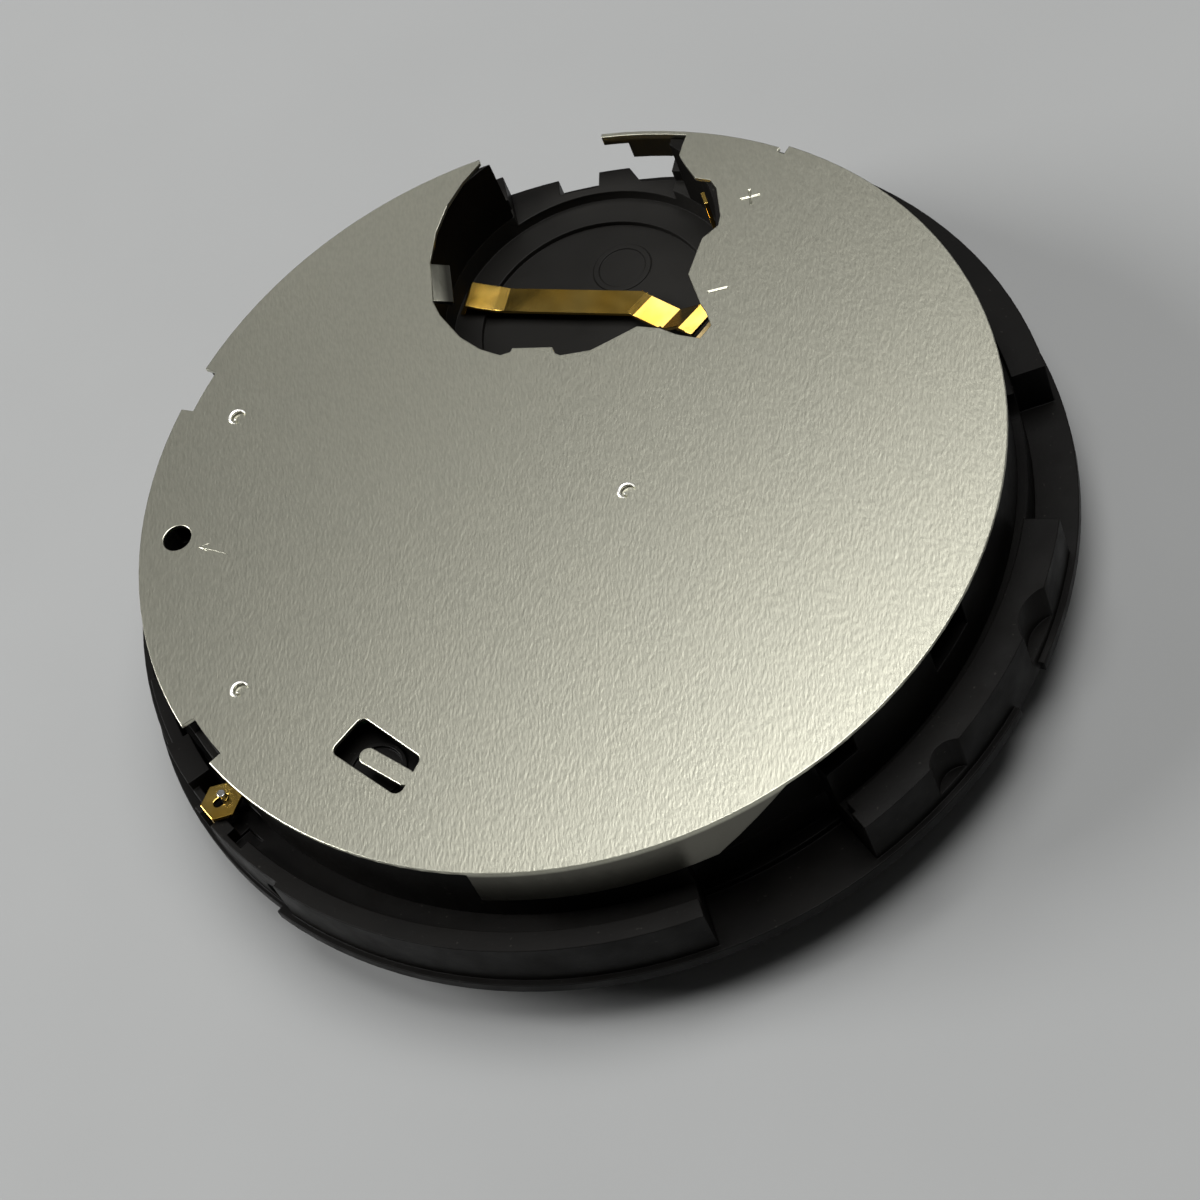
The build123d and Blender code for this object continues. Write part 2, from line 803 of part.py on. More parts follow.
def plate_inside():
    """Pillars, motor feet, pivot holes, and the well for the setting work."""
    for place in pillar_places:
        disc(place, pillar_radius, train_floor, bridge_low)
        disc(place, screw_radius + thread_gap, bridge_low - screw_depth, bridge_low, Mode.SUBTRACT)
    for motor in motors.values():
        for place in motor_lugs(motor):
            disc(place, core_screw_head, train_floor, stator_level)
            hole = core_screw_radius + thread_gap
            disc(place, hole, train_floor - pivot_length, stator_level, Mode.SUBTRACT)
    for place in lower_pivots:
        disc(place, pivot_hole, train_floor - pivot_length - pivot_gap, train_floor, Mode.SUBTRACT)
    for place in hand_axes:
        disc(place, hand_hole, 0, train_floor, Mode.SUBTRACT)
    disc(centre, pipe_hole, 0, train_floor, Mode.SUBTRACT)
    well_start, well_end = key_well_ends
    width = 2 * key_well_half_width
    rise = module_seat - key_well_floor
    box((well_start, 0), key_well_floor + rise / 2, 0, width, rise, well_end - well_start, Mode.SUBTRACT)
    bore_start = -stem_side_radius - overrun
    rod((bore_start, 0), stem_height, 0, stem_hole_radius, well_start + overrun - bore_start, Mode.SUBTRACT)
    for place in (yoke_axis, lever_axis):
        disc(place, key_shoulder_radius, train_floor, key_level - running_gap)
        disc(place, key_post_radius, train_floor, key_cover_level)
        disc(place, key_rivet_radius, key_cover_level, key_cover_level + key_cover_gauge)


with BuildPart() as main_plate:
    plate_body()
    plate_gate()
    plate_rim_cuts()
    plate_switches()
    plate_dial_side()
    plate_inside()

finish(main_plate, "main_plate")


def frame_openings():
    """Pocket, slots and notches in the wall of the upper module, and a lobe in the bay wall."""
    outside = module_radius + overrun
    sector(outside, pocket_radius, pocket_bearings, module_seat, pocket_top, Mode.SUBTRACT)
    for bearings, floor in zip(slot_bearings, slot_floors):
        sector(outside, module_bore, bearings, floor, cover_low, Mode.SUBTRACT)
    for bearing in pusher_bearings:
        span = (bearing - switch_notch_half, bearing + switch_notch_half)
        inner = module_radius - switch_notch_depth
        sector(outside, inner, span, switch_notch_low, switch_notch_high, Mode.SUBTRACT)
    hole = polar(pocket_radius, recess_hole_bearing)
    rod(hole, recess_hole_height, recess_hole_bearing, recess_hole_radius, deep_cut, Mode.SUBTRACT)
    start = (-module_radius - overrun, 0)
    rod(start, stem_height, 0, stem_hole_radius + sheet_gap, module_wall + side_cut, Mode.SUBTRACT)
    disc(release_place, release_radius, web_low, cover_low, Mode.SUBTRACT)
    for bearings in cover_notches:
        sector(outside, cover_notch_radius, bearings, cover_low - wall_notch_depth, cover_low, Mode.SUBTRACT)
    seat = (clamp_bearings[0] - clamp_seat_turn, bay_gate[0])
    sector(outside, clamp_radii[0] - sheet_gap, seat, clamp_lows[0] - sheet_gap, cover_low, Mode.SUBTRACT)
    inner = bay_radius - overrun
    sector(lobe_outer, inner, lobe_bearings, lobe_sill, cover_low, Mode.SUBTRACT, bay_centre)


# Module frame: upper wall, bay wall and web
with BuildPart() as module_frame:
    with BuildSketch(Plane.XY.offset(module_seat)) as walls:
        Circle(module_radius)
        Circle(module_bore, mode=Mode.SUBTRACT)
    extrude(walls.sketch, amount=cover_low - module_seat)
    disc(centre, module_bore, web_low, web_high)
    sector(bay_outer, bay_radius - overrun, bay_wall_bearings, module_seat, cover_low, centre=bay_centre)
    disc(bay_centre, bay_radius, module_seat, cover_low, Mode.SUBTRACT)
    with BuildSketch(Plane.XY.offset(module_seat)) as envelope:
        Circle(module_radius)
    extrude(envelope.sketch, amount=cover_low, mode=Mode.INTERSECT)
    sector(module_radius + overrun, well_radius - overrun, bay_gate, module_seat, cover_low, Mode.SUBTRACT)
    frame_openings()
    window_boss_bore = window_boss_radius - window_boss_wall
    ring(window_tongue_tip, window_boss_radius, window_boss_bore, web_high, web_high + window_boss_height)

finish(module_frame, "module_frame")


def window_area(low, high, mode):
    """Slanted window with rounded corners."""
    with BuildSketch(Plane.XY.offset(low)) as area:
        with BuildLine():
            Polyline(*window_corners, close=True)
        make_face()
        fillet(area.vertices(), window_round)
    extrude(area.sketch, amount=high - low, mode=mode)


def cover_cuts():
    """Mouth, window, notches, hole, dimples and polarity marks."""
    outside = cover_radius + overrun
    mouth = [shifted(bay_centre, polar(share * mouth_radius, bearing)) for bearing, share in mouth_points]
    mouth.extend(polar(outside + overrun, bearing) for bearing in mouth_ends)
    block(mouth, cover_low, movement_height, Mode.SUBTRACT)
    window_area(cover_low, movement_height, Mode.SUBTRACT)
    for bearings in cover_notches:
        sector(outside, cover_notch_radius, bearings, cover_low, movement_height, Mode.SUBTRACT)
    sector(outside, cover_trim_radius, cover_trim_bearings, cover_low, movement_height, Mode.SUBTRACT)
    sector(outside, cover_nick_radius, cover_nick_bearings, cover_low, movement_height, Mode.SUBTRACT)
    disc(release_place, release_radius, cover_low, movement_height, Mode.SUBTRACT)
    dimple_floor = movement_height - dimple_depth
    for offset, bearing in dimples:
        disc(polar(offset, bearing), dimple_radius, dimple_floor, movement_height, Mode.SUBTRACT)


def cover_marks():
    """Plus and minus marks for the battery, pressed into the cover."""
    for place, count in ((plus_mark, 2), (minus_mark, 1)):
        with BuildSketch(Plane.XY.offset(movement_height - mark_depth)) as area:
            with Locations(polar(*place)):
                with PolarLocations(0, count, angular_range=90 * count):
                    Rectangle(mark_length, mark_line)
        extrude(area.sketch, amount=mark_depth, mode=Mode.SUBTRACT)


def skirt_tear():
    """Slanted cut at one end of the skirt."""
    start, end = (cover_radius * sin(radians(bearing - skirt_tear_middle)) for bearing in skirt_tear_bearings)
    below = skirt_low - overrun
    reach = skirt_tear_reach
    corners = [(start, skirt_low), (end, cover_low), (reach, cover_low), (reach, below), (start, below)]
    with BuildSketch(facing(polar(cover_radius - side_cut, skirt_tear_middle), 0, skirt_tear_middle)) as area:
        with BuildLine():
            Polyline(*corners, close=True)
        make_face()
    extrude(area.sketch, amount=deep_cut, mode=Mode.SUBTRACT)


# Cover plate
with BuildPart() as cover_plate:
    disc(centre, cover_radius, cover_low, movement_height)
    sector(cover_radius, cover_radius - cover_gauge, skirt_bearings, skirt_low, cover_low)
    skirt_tear()
    cover_cuts()
    cover_marks()
    bar(window_tongue_root, window_tongue_tip, window_tongue_width, cover_low, movement_height)
    arm_start, arm_bend, arm_end = clamp_bearings
    sector(clamp_radii[1], clamp_radii[0], (arm_start, arm_bend), clamp_lows[0], movement_height)
    sector(clamp_radii[1], clamp_radii[0], (arm_bend, arm_end), clamp_lows[1], movement_height)
    leaf(bay_centre, tongue_bearing, tongue_profile, cover_gauge, tongue_width)

finish(cover_plate, "cover_plate")


# Circuit board, its chip, and the quartz crystal
with BuildPart() as circuit_board:
    disc(centre, board_radius, web_high, board_high)
    disc(bay_centre, bay_outer + bridge_bay_gap, web_high, board_high, Mode.SUBTRACT)
    disc(window_tongue_tip, board_window_radius, web_high, board_high, Mode.SUBTRACT)
    disc(release_place, release_clear_radius, web_high, board_high, Mode.SUBTRACT)
    sector(module_radius, well_radius - overrun, bay_gate, web_high, board_high, Mode.SUBTRACT)
    inner = bay_radius - overrun
    sector(lobe_outer, inner, lobe_bearings, web_high, board_high, Mode.SUBTRACT, bay_centre)

finish(circuit_board, "circuit_board")

with BuildPart() as ic_chip:
    with BuildSketch(Plane.XY.offset(board_high)) as area:
        with Locations(chip_place):
            Rectangle(chip_size[0], chip_size[1])
    extrude(area.sketch, amount=chip_size[2])
    chamfer(ic_chip.faces().sort_by(Axis.Z)[-1].edges(), sheet_gap)

finish(ic_chip, "ic_chip")

with BuildPart() as quartz_crystal:
    crystal_start = shifted(crystal_place, polar(crystal_length / 2, crystal_bearing + 180))
    rod(crystal_start, train_floor + crystal_radius, crystal_bearing, crystal_radius, crystal_length)
    fillet(quartz_crystal.edges().filter_by(GeomType.CIRCLE), crystal_round)

finish(quartz_crystal, "quartz_crystal")


# Train bridge with its jewels and screws
with BuildPart() as train_bridge:
    disc(centre, module_bore - bridge_margin, bridge_low, bridge_high)
    disc(bay_centre, bay_outer + bridge_bay_gap, bridge_low, bridge_high, Mode.SUBTRACT)
    sector(module_radius, well_radius - gate_cut, bay_gate, bridge_low, bridge_high, Mode.SUBTRACT)
    disc(release_place, release_clear_radius, bridge_low, bridge_high, Mode.SUBTRACT)
    for motor in motors.values():
        with BuildSketch(Plane.XY.offset(bridge_low)) as window:
            with Locations(motor_point(motor, 0, coil_offset)):
                SlotOverall(coil_window_length, coil_window_width, rotation=motor["bearing"] + 90)
        extrude(window.sketch, amount=bridge_gauge, mode=Mode.SUBTRACT)
        disc(motor["axis"], jewel_radius, bridge_low, bridge_high, Mode.SUBTRACT)
    for place in drive_axes + hand_axes + [third_axis, centre]:
        disc(place, pivot_hole, bridge_low, bridge_high, Mode.SUBTRACT)
    for place in pillar_places:
        disc(place, screw_radius + thread_gap, bridge_low, bridge_high, Mode.SUBTRACT)

finish(train_bridge, "train_bridge")

with BuildPart() as jewels:
    for place in rotor_axes:
        ring(place, jewel_radius, pivot_hole, bridge_low, bridge_high)

finish(jewels, "jewels")

with BuildPart() as bridge_screws:
    for place in pillar_places:
        head_high = bridge_high + screw_head_height
        screw(place, screw_head_radius, bridge_high, head_high, screw_radius, bridge_low - screw_depth)

finish(bridge_screws, "bridge_screws")


def stator_outline(motor):
    """Corners of a stator: two feet under the coil, and a waist around the rotor."""
    side = [
        (stator_waist, -stator_back),
        (stator_half, coil_offset - stator_foot / 2),
        (stator_half, coil_offset + stator_foot / 2),
        (stator_half - stator_foot, coil_offset + stator_foot / 2),
        (stator_half - stator_foot, stator_front + running_gap),
        (stator_front, stator_front),
    ]
    other = [(-along, outward) for along, outward in reversed(side)]
    return [motor_point(motor, along, outward) for along, outward in side + other]


# Stepping motors: a stator, a core, a coil and a rotor each, and the screws they share
for name, motor in motors.items():
    with BuildPart() as stator:
        block(stator_outline(motor), stator_level, core_level)
        disc(motor["axis"], stator_eye, stator_level, core_level)
        disc(motor["axis"], stator_bore, stator_level, core_level, Mode.SUBTRACT)
        for place in motor_lugs(motor):
            disc(place, core_screw_radius + thread_gap, stator_level, core_level, Mode.SUBTRACT)
    finish(stator, f"stator_{name}")

    core_middle = core_level + core_gauge / 2
    coil_way = motor["bearing"] + 90
    with BuildPart() as core:
        core_start = motor_point(motor, -stator_half, coil_offset)
        box(core_start, core_middle, coil_way, core_width, core_gauge, 2 * stator_half)
        for place in motor_lugs(motor):
            disc(place, core_screw_radius + thread_gap, core_level, core_level + core_gauge, Mode.SUBTRACT)
    finish(core, f"core_{name}")

    with BuildPart() as coil:
        coil_start = motor_point(motor, -coil_length / 2, coil_offset)
        rod(coil_start, core_middle, coil_way, coil_radius, coil_length)
        box(coil_start, core_middle, coil_way, core_width, core_gauge, coil_length, Mode.SUBTRACT)
    finish(coil, f"coil_{name}")

    with BuildPart() as rotor:
        arbor(motor["axis"])
        disc(motor["axis"], magnet_radius, magnet_level, magnet_level + magnet_height)
        pinion(motor["axis"], rotor_teeth, rotor_module, 0, drive_level)
    finish(rotor, f"rotor_{name}")

with BuildPart() as coil_screws:
    for motor in motors.values():
        for place in motor_lugs(motor):
            head_low = core_level + core_gauge
            head_high = head_low + core_screw_head_height
            screw(place, core_screw_head, head_low, head_high, core_screw_radius, train_floor - pivot_length)

finish(coil_screws, "coil_screws")


def drive_phase(motor, axis):
    """Bearing of the first tooth of a drive wheel."""
    return mesh_phase(motors[motor]["axis"], rotor_teeth, 0, axis, drive_teeth)


def build_drive(name, motor, axis, pinion_teeth, module):
    """Drive wheel of one motor, with the pinion that turns the next wheel."""
    phase = drive_phase(motor, axis)
    with BuildPart() as drive:
        arbor(axis)
        wheel(axis, drive_teeth, rotor_module, phase, drive_level)
        pinion(axis, pinion_teeth, module, phase, counter_level)
    finish(drive, name)


build_drive("seconds_drive_wheel", "time", seconds_drive_axis, drive_pinion_teeth, counter_module)
build_drive("minutes_drive_wheel", "minutes", minutes_drive_axis, drive_pinion_teeth, counter_module)
build_drive("tenths_drive_wheel", "tenths", tenths_drive_axis, drive_pinion_teeth, counter_module)
build_drive("chrono_drive_wheel", "chrono", chrono_drive_axis, chrono_pinion_teeth, chrono_module)

# Wheels that carry the small hands
first_phase = drive_phase("time", seconds_drive_axis)
seconds_phase = mesh_phase(seconds_drive_axis, drive_pinion_teeth, first_phase, seconds_axis, counter_teeth)
with BuildPart() as small_seconds_wheel:
    hand_arbor(seconds_axis, counter_seat_end)
    wheel(seconds_axis, counter_teeth, counter_module, seconds_phase, counter_level)
    pinion(seconds_axis, seconds_pinion_teeth, third_module, seconds_phase, third_level)

finish(small_seconds_wheel, "small_seconds_wheel")

for name, motor, drive_axis, axis in (
    ("minute_counter_wheel", "minutes", minutes_drive_axis, minutes_axis),
    ("tenth_counter_wheel", "tenths", tenths_drive_axis, tenths_axis),
):
    phase = mesh_phase(drive_axis, drive_pinion_teeth, drive_phase(motor, drive_axis), axis, counter_teeth)
    with BuildPart() as counter:
        hand_arbor(axis, counter_seat_end)
        wheel(axis, counter_teeth, counter_module, phase, counter_level)
    finish(counter, name)

first_phase = drive_phase("chrono", chrono_drive_axis)
chrono_phase = mesh_phase(chrono_drive_axis, chrono_pinion_teeth, first_phase, centre, chrono_teeth)
with BuildPart() as centre_seconds_wheel:
    disc(centre, small_seat_radius, seconds_seat_end, bridge_low - pivot_gap)
    disc(centre, pivot_radius, bridge_low - pivot_gap, bridge_low + pivot_reach)
    wheel(centre, chrono_teeth, chrono_module, chrono_phase, counter_level)

finish(centre_seconds_wheel, "centre_seconds_wheel")

# Time train from the small seconds to the hands in the middle
third_phase = mesh_phase(seconds_axis, seconds_pinion_teeth, seconds_phase, third_axis, third_teeth)
with BuildPart() as third_wheel:
    arbor(third_axis)
    wheel(third_axis, third_teeth, third_module, third_phase, third_level)
    pinion(third_axis, third_pinion_teeth, centre_module, third_phase, centre_level)

finish(third_wheel, "third_wheel")

centre_phase = mesh_phase(third_axis, third_pinion_teeth, third_phase, centre, centre_teeth)
seconds_hole = small_seat_radius + running_gap
cannon_pinion_top = cannon_pinion_level + cannon_pinion_gauge
pipe_top = centre_level + wheel_gauge + pinion_reach
with BuildPart() as cannon_pinion:
    wheel(centre, centre_teeth, centre_module, centre_phase, centre_level)
    toothed_disc(centre, cannon_teeth, motion_module, 0, cannon_pinion_level, cannon_pinion_top)
    disc(centre, minute_seat_radius, minute_seat_end, pipe_top)
    disc(centre, seconds_hole, minute_seat_end, pipe_top, Mode.SUBTRACT)

finish(cannon_pinion, "cannon_pinion")

minute_phase = mesh_phase(centre, cannon_teeth, 0, minute_wheel_axis, minute_wheel_teeth)
with BuildPart() as minute_wheel:
    low = minute_pinion_level
    wheel(minute_wheel_axis, minute_wheel_teeth, motion_module, minute_phase, minute_wheel_level)
    toothed_disc(minute_wheel_axis, minute_pinion_teeth, hour_module, minute_phase, low, minute_wheel_level)
    disc(minute_wheel_axis, minute_post_radius + running_gap, low, motion_ceiling, Mode.SUBTRACT)

finish(minute_wheel, "minute_wheel")

hour_phase = mesh_phase(minute_wheel_axis, minute_pinion_teeth, minute_phase, centre, hour_wheel_teeth)
hour_wheel_top = hour_wheel_level + wheel_gauge
with BuildPart() as hour_wheel:
    toothed_disc(centre, hour_wheel_teeth, hour_module, hour_phase, hour_wheel_level, hour_wheel_top)
    disc(centre, hour_seat_radius, hour_seat_end, hour_wheel_top)
    disc(centre, hour_shoulder_radius, hour_shoulder_end, hour_wheel_top)
    disc(centre, pipe_hole, hour_seat_end, hour_wheel_top, Mode.SUBTRACT)

finish(hour_wheel, "hour_wheel")

# Date work
driver_phase = mesh_phase(centre, hour_wheel_teeth, hour_phase, date_driver_axis, date_driver_teeth)
with BuildPart() as date_driver_wheel:
    wheel(date_driver_axis, date_driver_teeth, hour_module, driver_phase, hour_wheel_level)
    disc(date_driver_axis, driver_hub, date_finger_level, hour_wheel_top)
    finger_reach = date_finger_reach - date_finger_width / 2
    finger_tip = shifted(date_driver_axis, polar(finger_reach, date_finger_bearing))
    bar(date_driver_axis, finger_tip, date_finger_width, date_finger_level, date_finger_level + wheel_gauge)
    disc(date_driver_axis, driver_post_radius + running_gap, date_finger_level, hour_wheel_top, Mode.SUBTRACT)

finish(date_driver_wheel, "date_driver_wheel")

date_tooth = (
    (date_tooth_root, -date_tooth_root_share),
    (date_tooth_tip, -date_tooth_tip_share),
    (date_tooth_tip, date_tooth_tip_share),
    (date_tooth_root, date_tooth_root_share),
)
with BuildPart() as date_ring:
    ring_top = date_ring_level + date_ring_gauge
    disc(centre, date_ring_outer, date_ring_level, ring_top)
    tooth_pitch = 360 / date_days
    corners = []
    for day in range(date_days):
        middle = beak_bearing + (day + 1 / 2) * tooth_pitch
        for radius, share in date_tooth:
            corners.append(polar(radius, middle + share * tooth_pitch))
    block(corners, date_ring_level, ring_top, Mode.SUBTRACT)

finish(date_ring, "date_ring")

jumper_low = date_ring_level + thread_gap
jumper_high = date_ring_level + date_ring_gauge - thread_gap
with BuildPart() as date_jumper:
    beak_root = polar(date_tooth_tip - jumper_width, beak_bearing)
    bar(jumper_axis, beak_root, jumper_width, jumper_low, jumper_high)
    disc(jumper_axis, jumper_hub, jumper_low, jumper_high)
    beak_turn = degrees(beak_half_width / date_tooth_tip)
    block(
        [
            polar(date_tooth_tip - jumper_width, beak_bearing - beak_turn),
            polar(date_tooth_tip + beak_depth, beak_bearing),
            polar(date_tooth_tip - jumper_width, beak_bearing + beak_turn),
        ],
        jumper_low,
        jumper_high,
    )
    disc(jumper_axis, jumper_post_radius + running_gap, jumper_low, jumper_high, Mode.SUBTRACT)

finish(date_jumper, "date_jumper")

date_plate_low = date_plate_seat - date_plate_gauge
with BuildPart() as calendar_plate:
    disc(centre, date_plate_radius, date_plate_low, date_plate_seat)
    disc(centre, hour_shoulder_radius + hour_shoulder_gap, date_plate_low, date_plate_seat, Mode.SUBTRACT)
    for place in hand_axes:
        disc(place, hand_hole, date_plate_low, date_plate_seat, Mode.SUBTRACT)
    for place in date_screws:
        disc(place, screw_radius + thread_gap, date_plate_low, date_plate_seat, Mode.SUBTRACT)

finish(calendar_plate, "calendar_plate")

with BuildPart() as calendar_screws:
    for place in date_screws:
        screw(place, date_screw_head, date_screw_head_low, date_plate_low, screw_radius, date_screw_depth, -1)

finish(calendar_screws, "calendar_screws")

# Setting work on the stem's axis
key_high = key_level + key_plate_gauge
with BuildPart() as sliding_pinion:
    near, far = sliding_pinion_ends
    rod((near, 0), stem_height, 0, sliding_pinion_radius, far - near)
    groove_near, groove_far = sliding_groove_ends
    with BuildSketch(facing((groove_near, 0), stem_height, 0)) as groove:
        Circle(sliding_pinion_radius)
        Circle(sliding_groove_radius, mode=Mode.SUBTRACT)
    extrude(groove.sketch, amount=groove_far - groove_near, mode=Mode.SUBTRACT)
    box((near, 0), stem_height, 0, stem_square, stem_square, far - near, Mode.SUBTRACT)

finish(sliding_pinion, "sliding_pinion")

with BuildPart() as yoke:
    bar(yoke_axis, yoke_nub, key_arm_width, key_level, key_high)
    disc(yoke_axis, key_arm_width, key_level, key_high)
    disc(yoke_nub, yoke_nub_radius, yoke_nub_low, key_level)
    disc(yoke_axis, key_post_radius + running_gap, key_level, key_high, Mode.SUBTRACT)

finish(yoke, "yoke")

with BuildPart() as setting_lever:
    disc(lever_axis, key_arm_width, key_level, key_high)
    for tip in (lever_nose, lever_push, lever_heel):
        bar(lever_axis, tip, key_arm_width, key_level, key_high)
    disc(lever_nose, lever_pin_radius, lever_pin_low, key_level)
    disc(lever_axis, key_post_radius + running_gap, key_level, key_high, Mode.SUBTRACT)

finish(setting_lever, "setting_lever")

with BuildPart() as keyless_cover:
    key_cover_high = key_cover_level + key_cover_gauge
    bar(yoke_axis, lever_axis, key_cover_width, key_cover_level, key_cover_high)
    for place in (yoke_axis, lever_axis):
        disc(place, key_rivet_radius, key_cover_level, key_cover_high, Mode.SUBTRACT)

finish(keyless_cover, "keyless_cover")

# Battery contacts
with BuildPart() as battery_contact_spring:
    strip_place = shifted(bay_centre, polar(strip_shift, strip_bearing + 90))
    leaf(strip_place, strip_bearing, strip_foot, strip_gauge, strip_foot_width)
    leaf(strip_place, strip_bearing, strip_blade, strip_gauge, strip_blade_width)
    bend_place = shifted(strip_place, polar(strip_bend, strip_bearing))
    bend_low = strip_level - strip_gauge / 2
    disc(bend_place, strip_blade_width / 2, bend_low, bend_low + strip_gauge)
    leaf(bend_place, strip_arm_bearing, strip_arm, strip_gauge, strip_blade_width)
    leaf(bend_place, strip_arm_bearing, strip_tab, strip_gauge, strip_tab_width)
    roll_middle = shifted(strip_place, polar(strip_roll[0], strip_bearing))
    roll_start = shifted(roll_middle, polar(-strip_foot_width / 2, strip_bearing + 90))
    rod(roll_start, strip_roll[1], strip_bearing + 90, strip_roll_radius, strip_foot_width)

finish(battery_contact_spring, "battery_contact_spring")

with BuildPart() as battery_side_contact:
    leaf(bay_centre, side_contact_bearing, side_contact_profile, side_contact_gauge, side_contact_width)

finish(battery_side_contact, "battery_side_contact")

# Pusher contacts and their posts
for number, bearing in zip((2, 4), pusher_bearings):
    with BuildPart() as contact:
        with BuildSketch(Plane.XY.offset(contact_low)) as area:
            with Locations(polar(contact_offset, bearing)):
                RegularPolygon(contact_size, contact_sides, rotation=bearing + 90)
            with Locations(polar(switch_post_offset + contact_travel / 2, bearing)):
                SlotOverall(contact_slot_length, contact_slot_width, rotation=bearing, mode=Mode.SUBTRACT)
        extrude(area.sketch, amount=contact_gauge)
        contact_flat = contact_size * cos(radians(180 / contact_sides))
        leg_start = polar(contact_offset + contact_flat - contact_gauge, bearing)
        leg_rise = contact_low + contact_gauge - contact_leg_low
        leg_middle = contact_leg_low + leg_rise / 2
        box(leg_start, leg_middle, bearing, contact_leg_width, leg_rise, contact_gauge)
    finish(contact, f"pusher_contact_{number}")

with BuildPart() as switch_posts:
    for place in switch_posts_places:
        disc(place, switch_post_radius, switch_post_low, switch_post_high)

finish(switch_posts, "switch_posts")
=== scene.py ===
# %% [markdown]
# This scene dresses a round quartz chronograph movement, seen from the side where its cell goes in.
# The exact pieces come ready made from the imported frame, so Blender adds only what the eye needs: broken
# edges, wound coils, printed dates, small burrs, finishes, light and a camera. Nothing here resizes
# a piece.

# %% Load the frame and note its size
import json
import math

import bmesh
import bpy
import numpy as np
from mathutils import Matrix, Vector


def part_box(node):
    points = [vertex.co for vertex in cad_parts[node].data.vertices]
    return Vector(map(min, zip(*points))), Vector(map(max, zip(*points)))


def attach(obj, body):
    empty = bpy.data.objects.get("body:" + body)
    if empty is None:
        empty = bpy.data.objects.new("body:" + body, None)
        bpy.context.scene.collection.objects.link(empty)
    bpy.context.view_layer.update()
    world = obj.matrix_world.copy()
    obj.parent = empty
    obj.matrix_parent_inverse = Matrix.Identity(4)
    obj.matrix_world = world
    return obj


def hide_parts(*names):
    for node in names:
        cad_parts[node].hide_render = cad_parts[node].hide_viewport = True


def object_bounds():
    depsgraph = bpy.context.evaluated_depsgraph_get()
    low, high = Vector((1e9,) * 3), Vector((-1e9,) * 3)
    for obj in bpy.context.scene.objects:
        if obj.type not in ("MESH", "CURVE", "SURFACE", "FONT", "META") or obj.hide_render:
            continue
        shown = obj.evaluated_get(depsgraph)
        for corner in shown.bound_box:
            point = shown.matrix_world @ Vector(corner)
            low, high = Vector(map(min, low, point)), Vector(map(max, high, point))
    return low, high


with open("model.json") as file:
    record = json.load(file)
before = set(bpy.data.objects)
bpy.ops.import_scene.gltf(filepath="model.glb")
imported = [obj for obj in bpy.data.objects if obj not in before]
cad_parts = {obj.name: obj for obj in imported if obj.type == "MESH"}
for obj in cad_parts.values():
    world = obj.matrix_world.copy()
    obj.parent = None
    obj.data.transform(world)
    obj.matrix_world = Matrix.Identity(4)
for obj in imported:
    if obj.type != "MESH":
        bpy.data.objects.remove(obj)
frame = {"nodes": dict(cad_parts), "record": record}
bare_low, bare_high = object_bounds()
nodes = frame["nodes"]
record = frame["record"]
bodies = record["behaviour"]["bodies"]
body_of_node = {node: body for body, members in bodies.items() for node in members}
slot_of_node = {entry["node"]: entry["material_slot"] for entry in record["subparts"]}
mm = 0.001
print(len(nodes), "nodes, lowest corner", [round(value / mm, 2) for value in bare_low])

# %% [markdown]
# Every finish starts from one Principled surface, the shader that covers metal, plastic, lacquer and
# jewel alike. A shader could be put together from simpler ones, but one with named inputs is easier to
# read, and it is the one that an exported model keeps.

# %% Helpers that start a finish
def set_inputs(node, values):
    """Sets several inputs of a node, given by their names."""
    for name, value in values.items():
        node.inputs[name].default_value = value


def surface(material):
    """The Principled surface of a material."""
    return material.node_tree.nodes["Principled BSDF"]


def new_finish(name, colour, metallic, roughness):
    """A material with one Principled surface in a plain colour."""
    material = bpy.data.materials.new(name)
    material.use_nodes = True
    plain = {"Base Color": (*colour, 1.0), "Metallic": metallic, "Roughness": roughness}
    set_inputs(surface(material), plain)
    return material


print("the frame brings", len(bpy.data.materials), "plain materials of its own")

# %% [markdown]
# A finish's colour, gloss and relief can each be painted by a picture or by a procedural pattern. Patterns
# are used here, because they need no file and stay sharp at any distance. They read Object coordinates,
# which are metres on these pieces, so a scale of 10000 gives features of a tenth of a millimetre.

# %% Helpers that make a pattern
def even(scale):
    """The same number three times: one for each direction."""
    return (scale, scale, scale)


def object_place(tree):
    """Object coordinates of each place, in metres."""
    return tree.nodes.new("ShaderNodeTexCoord").outputs["Object"]


def noise(material, scales, detail=2.0, turn=0.0, seed=0.0):
    """Noise on Object coordinates: scales are features per metre along X, Y and Z, turned about Z."""
    tree = material.node_tree
    mapping = tree.nodes.new("ShaderNodeMapping")
    set_inputs(mapping, {"Location": even(seed), "Rotation": (0.0, 0.0, turn), "Scale": scales})
    texture = tree.nodes.new("ShaderNodeTexNoise")
    set_inputs(texture, {"Scale": 1.0, "Detail": detail})
    tree.links.new(object_place(tree), mapping.inputs["Vector"])
    tree.links.new(mapping.outputs["Vector"], texture.inputs["Vector"])
    return texture.outputs["Fac"]


def measure(owner, operation, vector):
    """A Vector Math result, such as a distance, of each place and one fixed vector.

    The node's two vectors share one name, so they go by number.
    """
    tree = owner.node_tree
    node = tree.nodes.new("ShaderNodeVectorMath")
    node.operation = operation
    node.inputs[1].default_value = vector
    tree.links.new(object_place(tree), node.inputs[0])
    return node.outputs["Value"]


def ramp(owner, value, low, high, to_low=0.0, to_high=1.0):
    """Maps the stretch from low to high of a pattern onto the stretch from to_low to to_high."""
    tree = owner.node_tree
    node = tree.nodes.new("ShaderNodeMapRange")
    stretch = {"From Min": low, "From Max": high, "To Min": to_low, "To Max": to_high}
    set_inputs(node, stretch)
    tree.links.new(value, node.inputs["Value"])
    return node.outputs["Result"]


print("patterns come as noise, as a measure and as a ramp of either")

